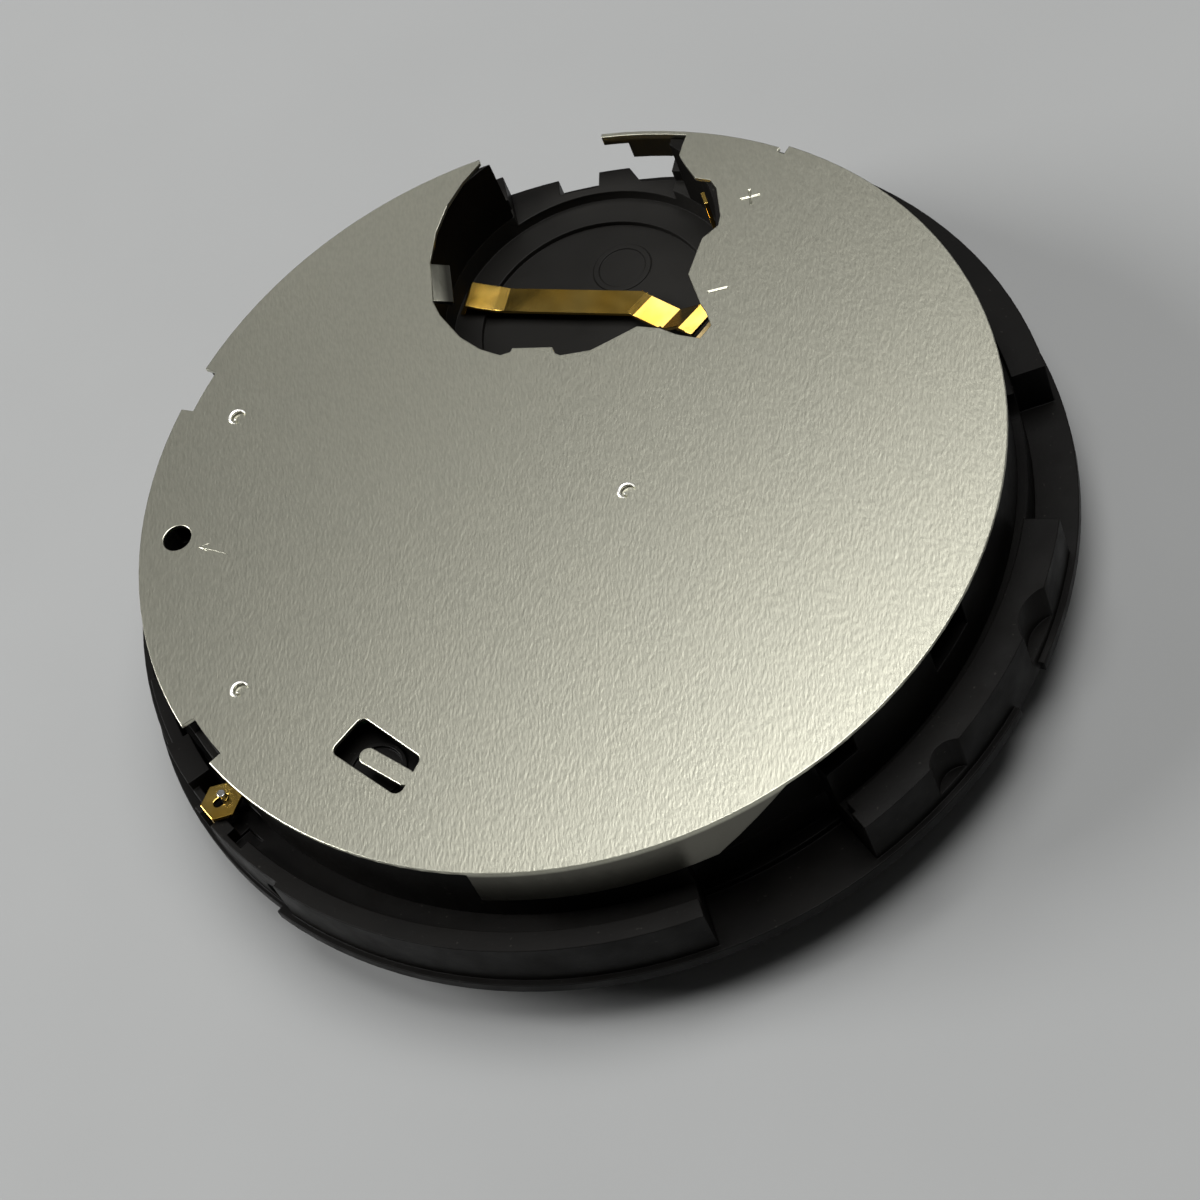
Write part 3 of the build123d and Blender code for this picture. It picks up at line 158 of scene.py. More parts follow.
# %% [markdown]
# A pattern reaches the surface in three ways: it mixes in a second colour, it makes the gloss wander, or it
# presses a relief. Most of a noise lies in noise_span, so the gloss stretches that part. A Mix node has one
# set of sockets for each kind of value, and they share their names, so the colour ones go by number.

# %% Helpers that lay a pattern on a surface
noise_span = (0.3, 0.7)
mix_share = 0
mix_first = 6
mix_second = 7
mix_result = 2


def tint(material, share, colour):
    """Mixes another colour in, by the share that a pattern gives at each place."""
    tree = material.node_tree
    base = surface(material).inputs["Base Color"]
    mix = tree.nodes.new("ShaderNodeMix")
    mix.data_type = "RGBA"
    if base.is_linked:
        tree.links.new(base.links[0].from_socket, mix.inputs[mix_first])
    else:
        mix.inputs[mix_first].default_value = base.default_value
    mix.inputs[mix_second].default_value = (*colour, 1.0)
    tree.links.new(share, mix.inputs[mix_share])
    tree.links.new(mix.outputs[mix_result], base)


def gloss(material, value, low, high):
    """Lets the roughness wander between two values."""
    wandering = ramp(material, value, *noise_span, low, high)
    material.node_tree.links.new(wandering, surface(material).inputs["Roughness"])


def relief(material, value, depth):
    """Presses a pattern into the surface, to a depth in metres, on top of any earlier relief."""
    tree = material.node_tree
    normal = surface(material).inputs["Normal"]
    bump = tree.nodes.new("ShaderNodeBump")
    bump.inputs["Distance"].default_value = depth
    if normal.is_linked:
        tree.links.new(normal.links[0].from_socket, bump.inputs["Normal"])
    tree.links.new(value, bump.inputs["Height"])
    tree.links.new(bump.outputs["Normal"], normal)


print("a pattern can tint, gloss or press a surface")

# %% [markdown]
# The cover is rolled nickel sheet that was etched to a matte stipple, with a grain along the 12 o'clock
# line. Stretching a noise along one axis gives such a grain. It goes into the relief as well as into the
# colour, because on metal the eye reads tiny slopes as light and dark specks.

# %% Nickel sheet
grain_scales = (12500.0, 4500.0, 4500.0)
grain_turn = math.radians(4.5)


def make_nickel(name):
    """Satin warm nickel with a fine grain along Y and faint clouds."""
    nickel = new_finish(name, (0.58, 0.571, 0.47), metallic=1.0, roughness=0.3)
    clouds = noise(nickel, even(330.0), detail=3.0)
    tint(nickel, ramp(nickel, clouds, 0.35, 0.7), (0.59, 0.579, 0.474))
    grain = noise(nickel, grain_scales, detail=1.0, turn=grain_turn)
    tint(nickel, ramp(nickel, grain, 0.35, 0.75, to_high=0.45), (0.46, 0.456, 0.37))
    gloss(nickel, noise(nickel, even(2600.0), seed=3.0), 0.295, 0.305)
    relief(nickel, grain, depth=4.5e-6)
    return nickel


print("grain of", [round(1.0 / (scale * mm), 2) for scale in grain_scales], "mm")

# %% [markdown]
# The sheet is bent down around the wall, and there it gets painted shade. A finish can know how high a
# place
# lies: the dot product of its Object coordinates with straight up is its height, and a short ramp turns
# that into a share of the darker colour. Where a punch tore the sheet, the metal is fresh and bright.

# %% Painted shade on the skirt, and fresh burrs
skirt_heights = (4.34 * mm, 4.46 * mm)
straight_up = (0.0, 0.0, 1.0)


def make_cover():
    """The nickel sheet, with painted shade where it is bent down around the wall."""
    cover = make_nickel("cover_sheet")
    height = measure(cover, "DOT_PRODUCT", straight_up)
    # Painted shade: below the skirt heights the sheet turns to a dark nickel colour.
    painted_shade = ramp(cover, height, *skirt_heights, to_low=1.0, to_high=0.0)
    tint(cover, painted_shade, (0.16, 0.155, 0.13))
    return cover


def make_burr():
    """Bright fresh metal that a punch threw up, and the painted highlight in each pit."""
    burr = new_finish("punched_edge_and_painted_highlight", (0.9, 0.89, 0.83), metallic=1.0, roughness=0.4)
    gloss(burr, noise(burr, even(5000.0)), 0.36, 0.44)
    return burr


finishes = {"nickel_sheet": make_nickel("nickel_sheet")}
# The sheet gets painted shade below this height.
print("nickel made, tarnished below", round(skirt_heights[1] / mm, 2), "mm")

# %% [markdown]
# Both shells are moulded in a dark brown-grey plastic. Moulded plastic is never one flat tone: the mould's
# spark-eroded skin scatters light, and dust settles in it. A low relief, a wandering gloss and a few pale
# specks bring that out, while the base colour stays nearly black. In the open bay and just around it the
# lower shell's finish is paler: that is painted light, for the light that the bay's floor catches.

# %% Moulded plastic
shell_colours = ((0.0034, 0.003, 0.0026), (0.0055, 0.0049, 0.0041))
ink_colours = ((0.012, 0.012, 0.013), (0.02, 0.02, 0.02))
bay_middle = (0.81 * mm, 9.08 * mm, 2.0 * mm)
# Within this reach of the bay's middle the lower shell gets painted light.
bay_painted_light_reach = (5.2 * mm, 5.9 * mm)


def make_plastic(name, colour, paler):
    """Dark moulded plastic with an eroded skin and a little dust."""
    plastic = new_finish(name, colour, metallic=0.0, roughness=0.5)
    set_inputs(surface(plastic), {"Specular IOR Level": 0.1})
    tint(plastic, ramp(plastic, noise(plastic, even(420.0), detail=3.0), 0.35, 0.7), paler)
    specks = noise(plastic, even(7000.0), detail=1.0, seed=11.0)
    tint(plastic, ramp(plastic, specks, 0.73, 0.8, to_high=0.4), (0.05, 0.047, 0.04))
    gloss(plastic, noise(plastic, even(900.0), seed=5.0), 0.4, 0.58)
    relief(plastic, noise(plastic, even(9000.0)), depth=3e-6)
    return plastic


def make_dusty_plastic():
    """The shells' plastic, paler in and around the open battery bay as painted light."""
    plastic = make_plastic("bay_painted_light_plastic", *shell_colours)
    away = measure(plastic, "DISTANCE", bay_middle)
    # Painted light: the finish grows paler towards the bay's middle.
    painted_light = ramp(plastic, away, *bay_painted_light_reach, to_low=1.0, to_high=0.0)
    tint(plastic, painted_light, (0.0155, 0.0147, 0.0132))
    return plastic


finishes["black_plastic"] = make_plastic("black_plastic", *shell_colours)
# Within this reach of the bay's middle the shell is paler, as painted light.
print("plastic made, dusty within", round(bay_painted_light_reach[1] / mm, 2), "mm of the bay's middle")

# %% [markdown]
# The contacts are spring strip with a gold plating, the bridge and the wheels are brass, and the levers,
# posts and screws are steel. All are bare metals, so they differ in colour, in gloss and in the marks of
# the tool that made them. One function with a few numbers covers them.

# %% Bare metals
gloss_swing = 0.15
tool_turn = 0.4


def make_metal(name, colour, other, rough, lines, depth):
    """Bare metal whose colour and gloss wander, with fine tool lines along one axis."""
    metal = new_finish(name, colour, metallic=1.0, roughness=rough)
    tint(metal, ramp(metal, noise(metal, even(700.0)), *noise_span), other)
    wandering = noise(metal, even(1800.0), detail=3.0, seed=2.0)
    gloss(metal, wandering, rough * (1.0 - gloss_swing), rough * (1.0 + gloss_swing))
    relief(metal, noise(metal, lines, turn=tool_turn), depth)
    return metal


# Colour, wandering colour, roughness, tool lines per metre and their depth in metres.
metals = {
    "gold_plate": ((0.95, 0.57, 0.09), (0.97, 0.67, 0.18), 0.17, (2500.0, 9000.0, 9000.0), 4e-7),
    "brass_sheet": ((0.72, 0.54, 0.25), (0.8, 0.62, 0.32), 0.36, (2000.0, 14000.0, 2000.0), 1.5e-6),
    "brass_wheel": ((0.82, 0.6, 0.28), (0.88, 0.68, 0.36), 0.22, even(7000.0), 1e-6),
    "steel": ((0.56, 0.56, 0.55), (0.64, 0.63, 0.61), 0.23, (3000.0, 12000.0, 3000.0), 1e-6),
}
for name, look in metals.items():
    finishes[name] = make_metal(name, *look)
print("made", *metals)

# %% [markdown]
# The jewels are synthetic ruby, the board is green laminate with copper tracks under its varnish, the coils
# are enamelled copper wire, and the date ring is satin white with black numbers. These are coated or solid
# colours, so a clear coat or a low roughness does most of the work.

# %% Jewels, board, wire, enamel and ink
def make_ruby():
    """Polished red jewel, a little uneven inside."""
    ruby = new_finish("ruby", (0.5, 0.012, 0.05), metallic=0.0, roughness=0.08)
    tint(ruby, ramp(ruby, noise(ruby, even(2500.0)), 0.4, 0.7), (0.75, 0.04, 0.12))
    set_inputs(surface(ruby), {"Coat Weight": 0.6})
    return ruby


def make_board():
    """Green laminate with paler tracks and a woven skin."""
    board = new_finish("board", (0.012, 0.085, 0.035), metallic=0.0, roughness=0.34)
    tracks = noise(board, (900.0, 2600.0, 900.0), detail=0.0)
    tint(board, ramp(board, tracks, 0.52, 0.56), (0.03, 0.19, 0.08))
    relief(board, tracks, depth=1.5e-5)
    relief(board, noise(board, even(9000.0), detail=1.0), depth=3e-6)
    return board


def make_wire():
    """Enamelled copper wire."""
    wire = new_finish("copper_wire", (0.62, 0.24, 0.075), metallic=0.7, roughness=0.3)
    tint(wire, ramp(wire, noise(wire, even(3000.0)), 0.35, 0.7), (0.75, 0.34, 0.12))
    set_inputs(surface(wire), {"Coat Weight": 0.5})
    return wire


def make_enamel():
    """Satin white lacquer."""
    enamel = new_finish("white_enamel", (0.8, 0.8, 0.76), metallic=0.0, roughness=0.32)
    clouds = noise(enamel, even(600.0), detail=3.0)
    tint(enamel, ramp(enamel, clouds, 0.4, 0.8), (0.74, 0.735, 0.69))
    relief(enamel, noise(enamel, even(5000.0)), depth=2e-6)
    return enamel


finishes["ruby"] = make_ruby()
finishes["board"] = make_board()
finishes["copper_wire"] = make_wire()
finishes["white_enamel"] = make_enamel()
print(len(finishes), "slots have a finish")

# %% [markdown]
# The frame's nodes arrive in plain colours. Each takes the finish of the slot that its record names, and
# two of them take a finish of their own: the cover, for the painted shade on its skirt, and the lower
# shell, for the painted light in its bay. Both could be painted by hand, but a rule on the place of a point
# needs no painting.

# %% Put the finishes on the frame's own nodes
own_finishes = {"cover_plate": make_cover(), "main_plate": make_dusty_plastic()}


def refinish(mesh, material):
    """Gives a mesh one finish in place of any other."""
    mesh.materials.clear()
    mesh.materials.append(material)


for node, piece in nodes.items():
    refinish(piece.data, own_finishes.get(node, finishes[slot_of_node[node]]))
print("finishes on", len(nodes), "nodes")

# %% [markdown]
# A stamped or moulded edge is never perfectly sharp, and the thin bright line along it is what makes metal
# look like metal. The exact pieces have sharp edges, so each visible one gets a copy: its triangles are
# joined and its flat areas are made whole again. The copy stands for the exact piece, which stays in the
# frame for the motion. This cell holds what every copy needs.

# %% Helpers that copy and place a piece
sharp_angle = math.radians(32.0)
fold_angle = math.radians(4.0)
fold_angles = {"battery_contact_spring": fold_angle, "battery_side_contact": fold_angle}
level_normal = 0.9999
upright = np.array(straight_up)


def heading(bearing):
    """Level unit vector at a bearing in degrees: its cosine along X and its sine along Y."""
    angle = math.radians(bearing)
    return np.array([math.cos(angle), math.sin(angle), 0.0])


def plan_point(offset, bearing):
    """Plan point in metres, from a distance in millimetres and a bearing in degrees."""
    return (offset * mm * heading(bearing))[:2]


def add_piece(name, mesh, body, slot):
    """Puts a finished mesh in the scene, on its body, with its slot's finish."""
    piece = bpy.data.objects.new(name, mesh)
    bpy.context.scene.collection.objects.link(piece)
    if not mesh.materials:
        mesh.materials.append(finishes[slot])
    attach(piece, body)
    return piece


def smooth_between_edges(mesh, angle=sharp_angle):
    """Smooth shading that stops at every edge sharper than an angle."""
    mesh.shade_smooth()
    mesh.set_sharp_from_angle(angle=angle)


def flatten_level_faces(mesh):
    """Flat shading on every level face, so that no edge beside it tints it."""
    normals = np.zeros(len(mesh.polygons) * 3, np.float32)
    mesh.polygons.foreach_get("normal", normals)
    mesh.polygons.foreach_set("use_smooth", np.abs(normals[2::3]) < level_normal)


print("a fold shades as an edge from", round(math.degrees(fold_angle)), "degrees on the contacts")

# %% [markdown]
# A Bevel modifier breaks the edges. It could take every edge above an angle, but at the punched dimples
# and on the floors of the cover's notches the new faces would run into each other, so each edge says by
# its own weight whether it is broken. A Weighted Normal modifier then lets the large faces rule the
# shading next to the new ones.

# %% Helpers that break the edges
cover_top = 4.6 * mm
# Each dimple's distance from the hand axis in millimetres, and its bearing in degrees.
dimples = ((11.63, 153.1), (11.68, 206.6), (2.37, 329.4))
dimple_reach = 0.3 * mm
dimple_depth = 0.1 * mm
notch_radius = 13.3 * mm
notch_margin = 0.05 * mm
weld_distance = 1e-7
flat_angle = math.radians(0.3)
bevel_steps = 2
flat_face_weight = 100


def stays_crisp(point):
    """Whether a point lies at a dimple's rim or on a notch's floor, in the cover's face."""
    to_dimple = min(math.dist((point.x, point.y), plan_point(*place)) for place in dimples)
    to_notch = abs(math.hypot(point.x, point.y) - notch_radius)
    in_face = point.z > cover_top - dimple_depth
    return in_face and (to_dimple < dimple_reach or to_notch < notch_margin)


def joined_copy(node):
    """Copy of a node's mesh: triangles joined, flat areas made whole, a weight on each sharp edge."""
    build = bmesh.new()
    build.from_mesh(nodes[node].data)
    bmesh.ops.remove_doubles(build, verts=build.verts, dist=weld_distance)
    bmesh.ops.dissolve_limit(build, angle_limit=flat_angle, verts=build.verts, edges=build.edges)
    broken = build.edges.layers.float.new("bevel_weight_edge")
    for edge in build.edges:
        middle = (edge.verts[0].co + edge.verts[1].co) / 2
        is_sharp = edge.calc_face_angle(0.0) > sharp_angle
        edge[broken] = float(is_sharp and not stays_crisp(middle))
    mesh = bpy.data.meshes.new(f"{node}_dressed")
    build.to_mesh(mesh)
    build.free()
    return mesh


def dress(node, width):
    """Copy of a node with broken edges of a width in millimetres, standing for the node."""
    mesh = joined_copy(node)
    smooth_between_edges(mesh, fold_angles.get(node, sharp_angle))
    flatten_level_faces(mesh)
    refinish(mesh, nodes[node].data.materials[0])
    piece = add_piece(f"{node}_dressed", mesh, body_of_node[node], slot_of_node[node])
    bevel = piece.modifiers.new("broken_edges", "BEVEL")
    bevel.width = width * mm
    bevel.segments = bevel_steps
    bevel.limit_method = "WEIGHT"
    bevel.use_clamp_overlap = False
    bevel.loop_slide = False
    weighted = piece.modifiers.new("flat_faces_first", "WEIGHTED_NORMAL")
    weighted.keep_sharp = True
    weighted.weight = flat_face_weight
    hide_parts(node)
    return piece


print("edges stay crisp at", len(dimples), "dimples")

# %% [markdown]
# A broken edge is as wide as the tool or the mould left it: a few hundredths of a millimetre on the
# shells and the cover, and less on thin spring strip and on cut teeth. Pieces that show little or nothing
# keep their exact mesh, because dressing them would only cost faces.

# %% Dress the pieces that show
edge_widths = {
    "cover_plate": 0.022,
    "main_plate": 0.03,
    "module_frame": 0.03,
    "battery_contact_spring": 0.012,
    "battery_side_contact": 0.012,
    "pusher_contact_2": 0.015,
    "pusher_contact_4": 0.015,
    "switch_posts": 0.015,
    "calendar_plate": 0.015,
    "calendar_screws": 0.01,
    "date_ring": 0.012,
    "date_jumper": 0.012,
    "hour_wheel": 0.01,
    "cannon_pinion": 0.008,
}
for node, width in edge_widths.items():
    piece = dress(node, width)
    print(piece.name, len(piece.data.polygons), "faces")

# %% [markdown]
# Each coil is about fifty turns of hair-thin wire on a steel core. A winding could be one long helix of
# tube, but nobody can follow a turn by eye, so a surface of revolution with a rounded rib for each turn
# gives the same look for a fraction of the faces. Its axis and length are measured on the plain coil.

# %% Wind the coils
coil_turns = 50
coil_steps_per_turn = 4
coil_sides = 28
wire_depth = 0.04 * mm
coil_bore = 0.5 * mm
seam_distance = 1e-8


def mesh_points(mesh):
    """All vertices of a mesh as an array of rows x, y, z."""
    flat = np.zeros(len(mesh.vertices) * 3, np.float32)
    mesh.vertices.foreach_get("co", flat)
    return flat.reshape(-1, 3).astype(float)


def grid_mesh(name, points, close_rows, close_columns):
    """Mesh of a rows by columns grid of points; each way may close on itself."""
    rows, columns = points.shape[:2]
    index = np.arange(rows * columns).reshape(rows, columns)
    if close_rows:
        index = np.vstack([index, index[:1]])
    if close_columns:
        index = np.hstack([index, index[:, :1]])
    quads = np.stack([index[:-1, :-1], index[:-1, 1:], index[1:, 1:], index[1:, :-1]], axis=-1)
    mesh = bpy.data.meshes.new(name)
    mesh.from_pydata(points.reshape(-1, 3).tolist(), [], quads.reshape(-1, 4).tolist())
    return mesh


def outward(mesh):
    """Turns every face of a closed mesh to point outwards."""
    build = bmesh.new()
    build.from_mesh(mesh)
    bmesh.ops.remove_doubles(build, verts=build.verts, dist=seam_distance)
    bmesh.ops.recalc_face_normals(build, faces=build.faces)
    build.to_mesh(mesh)
    build.free()
    return mesh


def wind_coil(node):
    """Ribbed winding on the plain coil's axis.

    Along the axis the radius is the coil's, less one wire depth times one minus the absolute sine of the
    turn's phase; the profile closes through the bore, and it is carried once around the axis.
    """
    points = mesh_points(nodes[node].data)
    middle = (points.max(axis=0) + points.min(axis=0)) / 2
    way = np.linalg.svd(points - points.mean(axis=0), full_matrices=False)[2][0]
    half = np.abs((points - middle) @ way).max()
    radius = np.ptp(points[:, 2]) / 2
    steps = coil_turns * coil_steps_per_turn + 1
    along = np.linspace(-half, half, steps)
    phase = np.linspace(0.0, math.pi * coil_turns, steps)
    ribs = radius - wire_depth * (1.0 - np.abs(np.sin(phase)))
    axial = np.concatenate([along, [half, -half]])
    radial = np.concatenate([ribs, [coil_bore, coil_bore]])
    around = np.linspace(0.0, 2.0 * math.pi, coil_sides, endpoint=False)
    side = np.cross(way, upright)
    spokes = np.cos(around)[:, None] * side + np.sin(around)[:, None] * upright
    grid = middle + axial[:, None, None] * way + radial[:, None, None] * spokes[None, :, :]
    mesh = outward(grid_mesh(f"{node}_winding", grid, close_rows=True, close_columns=True))
    smooth_between_edges(mesh)
    piece = add_piece(f"{node}_winding", mesh, body_of_node[node], slot_of_node[node])
    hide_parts(node)
    return piece


for node in sorted(nodes):
    if node.startswith("coil_") and node != "coil_screws":
        piece = wind_coil(node)
        print(piece.name, len(piece.data.polygons), "faces")

# %% [markdown]
# Burrs are thin threads of metal that a tool left standing. They could be sculpted one by one, but a tube
# along a path, thinning out at both ends, is one formula for all of them. The path is an arc or a straight
# line, and several tubes become one mesh.

# %% Helpers for burrs
curl_points = 40
stroke_points = 12
tube_sides = 8


def tapered_tube(name, path, thickness):
    """Tube along a path of points, closed at both ends.

    Each ring is the path's point plus the local thickness times cos of the angle sideways and sin of it
    upwards; the thickness follows the square root of the sine of the way along, so both ends close.
    """
    share = np.linspace(0.0, 1.0, len(path))
    ahead = np.gradient(path, axis=0)
    ahead /= np.linalg.norm(ahead, axis=1)[:, None]
    side = np.cross(ahead, upright)
    local = thickness * np.sqrt(np.clip(np.sin(math.pi * share), 0.0, 1.0))
    around = np.linspace(0.0, 2.0 * math.pi, tube_sides, endpoint=False)
    sideways = np.cos(around)[None, :, None] * side[:, None, :]
    upwards = np.sin(around)[None, :, None] * upright[None, None, :]
    grid = path[:, None, :] + local[:, None, None] * (sideways + upwards)
    return outward(grid_mesh(name, grid, close_rows=False, close_columns=True))


def merge_meshes(name, meshes):
    """One mesh that holds all the given ones."""
    build = bmesh.new()
    for mesh in meshes:
        build.from_mesh(mesh)
        bpy.data.meshes.remove(mesh)
    merged = bpy.data.meshes.new(name)
    build.to_mesh(merged)
    build.free()
    smooth_between_edges(merged)
    return merged


def straight(start, end, level):
    """Points in a straight line between two plan points in millimetres, at a level in metres.

    Each point is the start times one minus the share of the way, plus the end times that share.
    """
    share = np.linspace(0.0, 1.0, stroke_points)[:, None]
    plan = (1.0 - share) * np.array(start) + share * np.array(end)
    return np.hstack([plan * mm, np.full((stroke_points, 1), level)])


def curl(offset, bearing, radius, span):
    """Points of an arc around a dimple, given by its distance and bearing from the hand axis.

    Each point is the dimple's middle plus the radius times cos and sin of the angle along the span.
    """
    angle = np.radians(np.linspace(*span, curl_points))
    middle_x, middle_y = plan_point(offset, bearing)
    level = np.full(angle.shape, cover_top)
    return np.stack([middle_x + radius * np.cos(angle), middle_y + radius * np.sin(angle), level], axis=1)


print("a burr is a tube of", tube_sides, "sides")

# %% [markdown]
# Three dimples were punched into the cover, and each punch threw up a bright curl of metal around part of
# its pit. A curl is a tube bent to a C, and a shorter, finer one inside it stands for the spot of light on
# the pit's wall. The fine engraved arrow by the release hole is made the same way, as a burr so low that
# only its light and shade are seen.

# %% Burrs and painted highlights around the dimples, and the arrow
curl_radius = 0.26 * mm
curl_thickness = 0.07 * mm
curl_span = (15.0, 250.0)
# The spot inside each curl is a painted highlight: bright metal where the pit's wall catches the light.
highlight_spot_radius = 0.12 * mm
highlight_spot_thickness = 0.045 * mm
highlight_spot_span = (200.0, 255.0)
# Plan points in millimetres.
arrow_tip = (-11.73, 0.47)
arrow_barbs = ((-11.38, 0.52), (-11.4, 0.21))
arrow_tail = (-10.74, -0.08)
arrow_thickness = 0.014 * mm

burrs_and_highlights = [tapered_tube("curl", curl(*place, curl_radius, curl_span), curl_thickness) for place in dimples]
# These spots are the painted highlights, in the same bright metal as the curls.
burrs_and_highlights += [tapered_tube("spot", curl(*place, highlight_spot_radius, highlight_spot_span), highlight_spot_thickness) for place in dimples]
burr_and_highlight_mesh = merge_meshes("dimple_burrs_and_highlights", burrs_and_highlights)
refinish(burr_and_highlight_mesh, make_burr())
add_piece("dimple_burrs_and_highlights", burr_and_highlight_mesh, "movement", "nickel_sheet")
paths = [straight(start, arrow_tip, cover_top) for start in (arrow_tail, *arrow_barbs)]
strokes = [tapered_tube("stroke", path, arrow_thickness) for path in paths]
add_piece("release_arrow", merge_meshes("release_arrow", strokes), "movement", "nickel_sheet")
print(len(burrs_and_highlights), "curls and spots,", len(strokes), "arrow strokes")

# %% [markdown]
# The date ring carries the numbers 1 to 31 on its dial side, set upright for a window at 3 o'clock. Letters
# could be painted by an image, but text turned into a mesh stays sharp and needs no file. Each number is
# laid out flat, made a mesh, and only then carried to its place on the ring by plain arithmetic.

# %% Print the dates
date_days = 31
number_height = 0.85 * mm
number_radius = 12.35 * mm
print_thickness = 0.006 * mm
window_bearing = 180.0
figure_height = 0.7
half_extrusion = 0.5
outline_steps = 3


def flat_number(text):
    """Mesh of a number laid flat and centred, in letters of one unit and one unit thick."""
    curve = bpy.data.curves.new("number", "FONT")
    curve.body = text
    curve.align_x = "CENTER"
    curve.align_y = "CENTER"
    curve.resolution_u = outline_steps
    curve.extrude = half_extrusion
    holder = bpy.data.objects.new("number", curve)
    bpy.context.scene.collection.objects.link(holder)
    bpy.context.view_layer.update()
    mesh = bpy.data.meshes.new_from_object(holder.evaluated_get(bpy.context.evaluated_depsgraph_get()))
    bpy.data.objects.remove(holder)
    bpy.data.curves.remove(curve)
    return mesh


def place_number(mesh, day):
    """Carries a flat number to its place on the ring's lower face.

    Reading direction is away from the axis and the number's top points backwards around the ring, seen
    from the dial side; x and y are scaled to the number's height and z to the print's thickness.
    """
    local = mesh_points(mesh)
    reading = heading(window_bearing + (day - 1) * 360.0 / date_days)
    top = np.cross(reading, upright)
    scale = number_height / figure_height
    placed = (local[:, :1] * reading + local[:, 1:2] * top) * scale + number_radius * reading
    ring_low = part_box("date_ring")[0].z
    placed[:, 2] = ring_low - print_thickness * (half_extrusion + local[:, 2])
    mesh.vertices.foreach_set("co", placed.astype(np.float32).ravel())
    mesh.update()
    return outward(mesh)


numbers = [place_number(flat_number(str(day)), day) for day in range(1, date_days + 1)]
number_mesh = merge_meshes("date_numbers", numbers)
refinish(number_mesh, make_plastic("printed_ink", *ink_colours))
add_piece("date_numbers", number_mesh, "date_ring", "black_plastic")
print(len(numbers), "dates,", len(number_mesh.polygons), "faces")

# %% [markdown]
# The movement lies on a plain pale table. A wide plane at its lowest point takes the shadow. The table's
# own finish is slightly uneven, because a perfectly even one looks like no surface at all.

# %% Table
table_reach = 0.5


def make_table():
    """Pale grey painted table with the faintest clouds."""
    table = new_finish("pale_table", (0.325, 0.329, 0.326), metallic=0.0, roughness=0.75)
    clouds = noise(table, even(90.0), detail=3.0)
    tint(table, ramp(table, clouds, 0.3, 0.8), (0.34, 0.344, 0.341))
    relief(table, noise(table, even(2500.0)), depth=4e-6)
    return table


signs = ((-1, -1), (1, -1), (1, 1), (-1, 1))
corners = [(along_x * table_reach, along_y * table_reach, bare_low.z) for along_x, along_y in signs]
table_mesh = bpy.data.meshes.new("table")
table_mesh.from_pydata(corners, [], [(0, 1, 2, 3)])
table_mesh.materials.append(make_table())
table = bpy.data.objects.new("table", table_mesh)
bpy.context.scene.collection.objects.link(table)
print("table at", round(bare_low.z / mm, 2), "mm")

# %% [markdown]
# The cover acts as a rough mirror, so the light is placed by what the sheet should reflect. A broad round
# lamp stands nearly overhead and makes the slow change from bright at the lower right to dark at the upper
# left. A narrower and brighter one comes from the left, and a faint small one lies low behind the open
# gate of the bay. A picture of a real room could do it too, but three lamps are easy to move.

# %% Lamps
lamp_distance = 0.3
# Name, bearing and elevation in degrees, width in metres and power in watts.
lamps = (
    ("high_window", 50.0, 80.0, 0.235, 0.8),
    ("left_window", 175.0, 34.0, 0.14, 0.7),
    ("gate_lamp", 109.0, 32.2, 0.047, 0.0131),
)


def add_lamp(name, bearing, elevation, size, power):
    """Round lamp that looks at the movement, from a bearing and an elevation in degrees."""
    lamp = bpy.data.lights.new(name, "AREA")
    lamp.shape = "DISK"
    lamp.size = size
    lamp.energy = power
    holder = bpy.data.objects.new(name, lamp)
    rise = math.radians(elevation)
    way = math.cos(rise) * heading(bearing) + math.sin(rise) * upright
    holder.location = (way * lamp_distance).tolist()
    holder.rotation_mode = "QUATERNION"
    holder.rotation_quaternion = (-holder.location).to_track_quat("-Z", "Y")
    bpy.context.scene.collection.objects.link(holder)
    return holder


for lamp in lamps:
    holder = add_lamp(*lamp)
    print(holder.name, "at", [round(value, 2) for value in holder.location], "m")

# %% [markdown]
# What the lamps leave dark, the room fills. A room is never the same grey all round, so its strength grows
# with how far a direction leans back and up, from a dark front and floor to a paler rear. The Standard
# view keeps the tones as they are, without the softening that the default view adds.

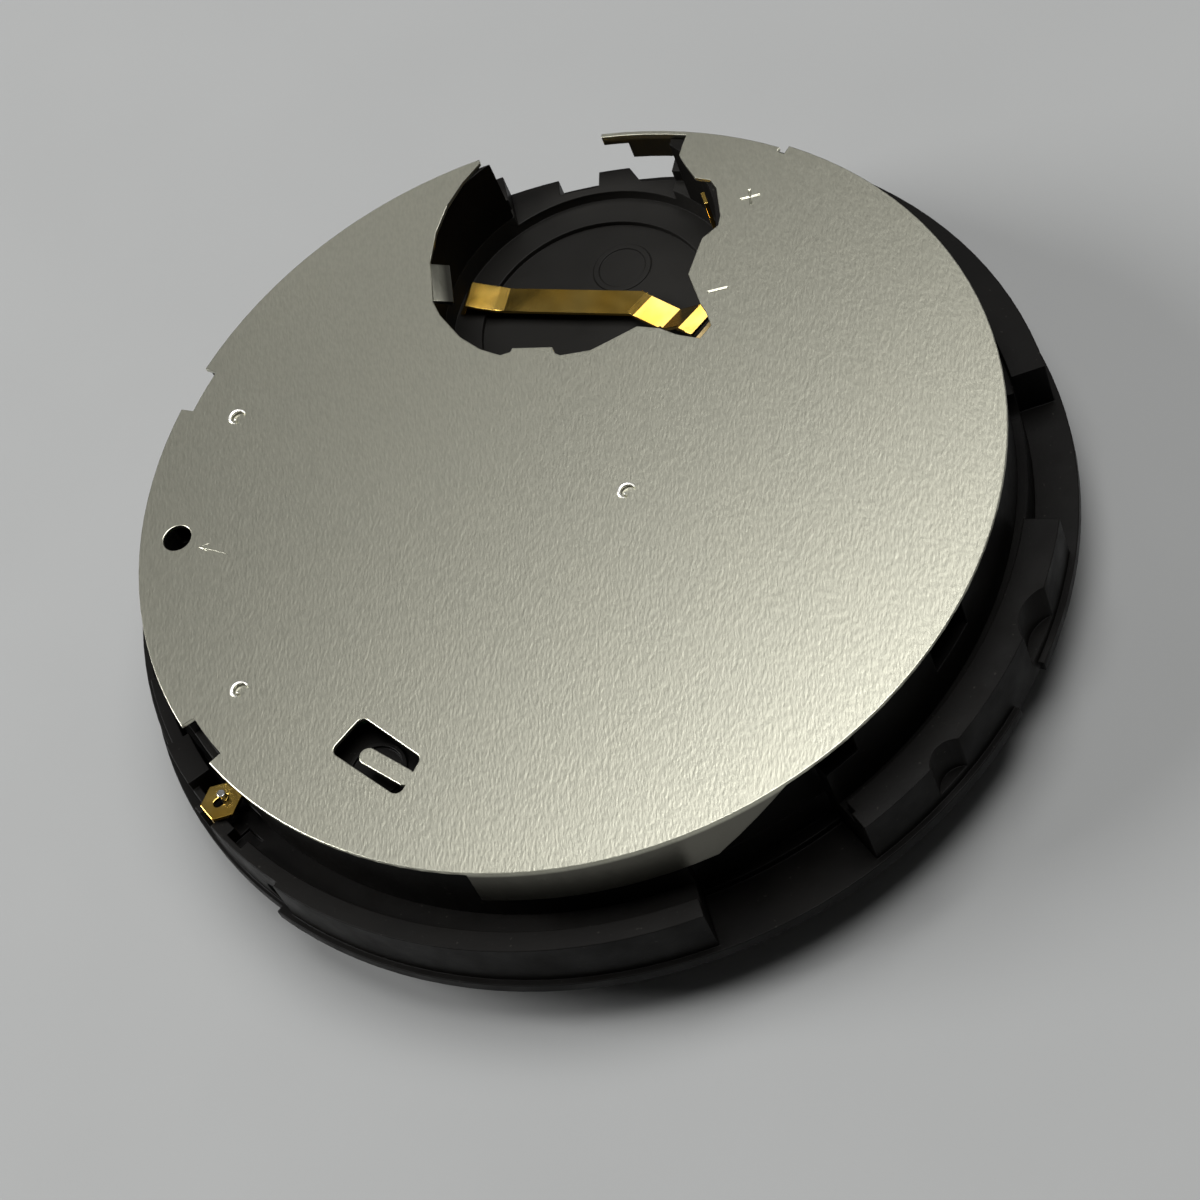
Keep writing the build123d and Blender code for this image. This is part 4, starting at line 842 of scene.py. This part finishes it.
# %% Room
room_lean = (0.0, 0.8, 0.6)
room_span = (-0.3, 0.6)
room_levels = (0.03, 0.09)
room_colour = (1.0, 1.005, 1.015, 1.0)


def make_room():
    """Grey surroundings that darken towards the front and the floor."""
    room = bpy.data.worlds.new("soft_room")
    room.use_nodes = True
    background = room.node_tree.nodes["Background"]
    set_inputs(background, {"Color": room_colour})
    lean = measure(room, "DOT_PRODUCT", room_lean)
    strength = ramp(room, lean, *room_span, *room_levels)
    room.node_tree.links.new(strength, background.inputs["Strength"])
    return room


bpy.context.scene.world = make_room()
bpy.context.scene.view_settings.view_transform = "Standard"
print("a grey room of strength", *room_levels)

# %% [markdown]
# The camera stands where the photograph was taken: above the movement, turned a little to its side and
# rolled, so the 12 o'clock side leans to the left. Its angles, distance and target were solved from the
# circles of the rim. A long lens keeps the round outline calm.

# %% Camera
# The turn is in degrees, the rise and the roll are in radians.
camera_turn = 17.4
camera_rise = 0.92080
camera_roll = -0.467793
camera_distance = 103.304 * mm
camera_target = np.array([-0.157, -1.605, 0.0]) * mm
sensor_width = 36.0
focal_length = 99.0
clip_near = 0.001
clip_far = 10.0


def aim_camera():
    """Camera from its turn in degrees, and its rise and roll in radians, about the target."""
    camera = bpy.data.cameras.new("camera")
    camera.sensor_width = sensor_width
    camera.lens = focal_length
    camera.clip_start = clip_near
    camera.clip_end = clip_far
    right = heading(camera_turn)
    ahead = np.cross(upright, right)
    up = ahead * math.sin(camera_rise) + upright * math.cos(camera_rise)
    back = -ahead * math.cos(camera_rise) + upright * math.sin(camera_rise)
    rolled_right = math.cos(camera_roll) * right + math.sin(camera_roll) * up
    rolled_up = -math.sin(camera_roll) * right + math.cos(camera_roll) * up
    place = np.eye(4)
    place[:3, :3] = np.stack([rolled_right, rolled_up, back], axis=1)
    place[:3, 3] = camera_target + back * camera_distance
    holder = bpy.data.objects.new("camera", camera)
    bpy.context.scene.collection.objects.link(holder)
    holder.matrix_world = place.T.tolist()
    bpy.context.scene.camera = holder
    return holder


camera_holder = aim_camera()
print("camera at", [round(value / mm, 1) for value in camera_holder.matrix_world.translation])
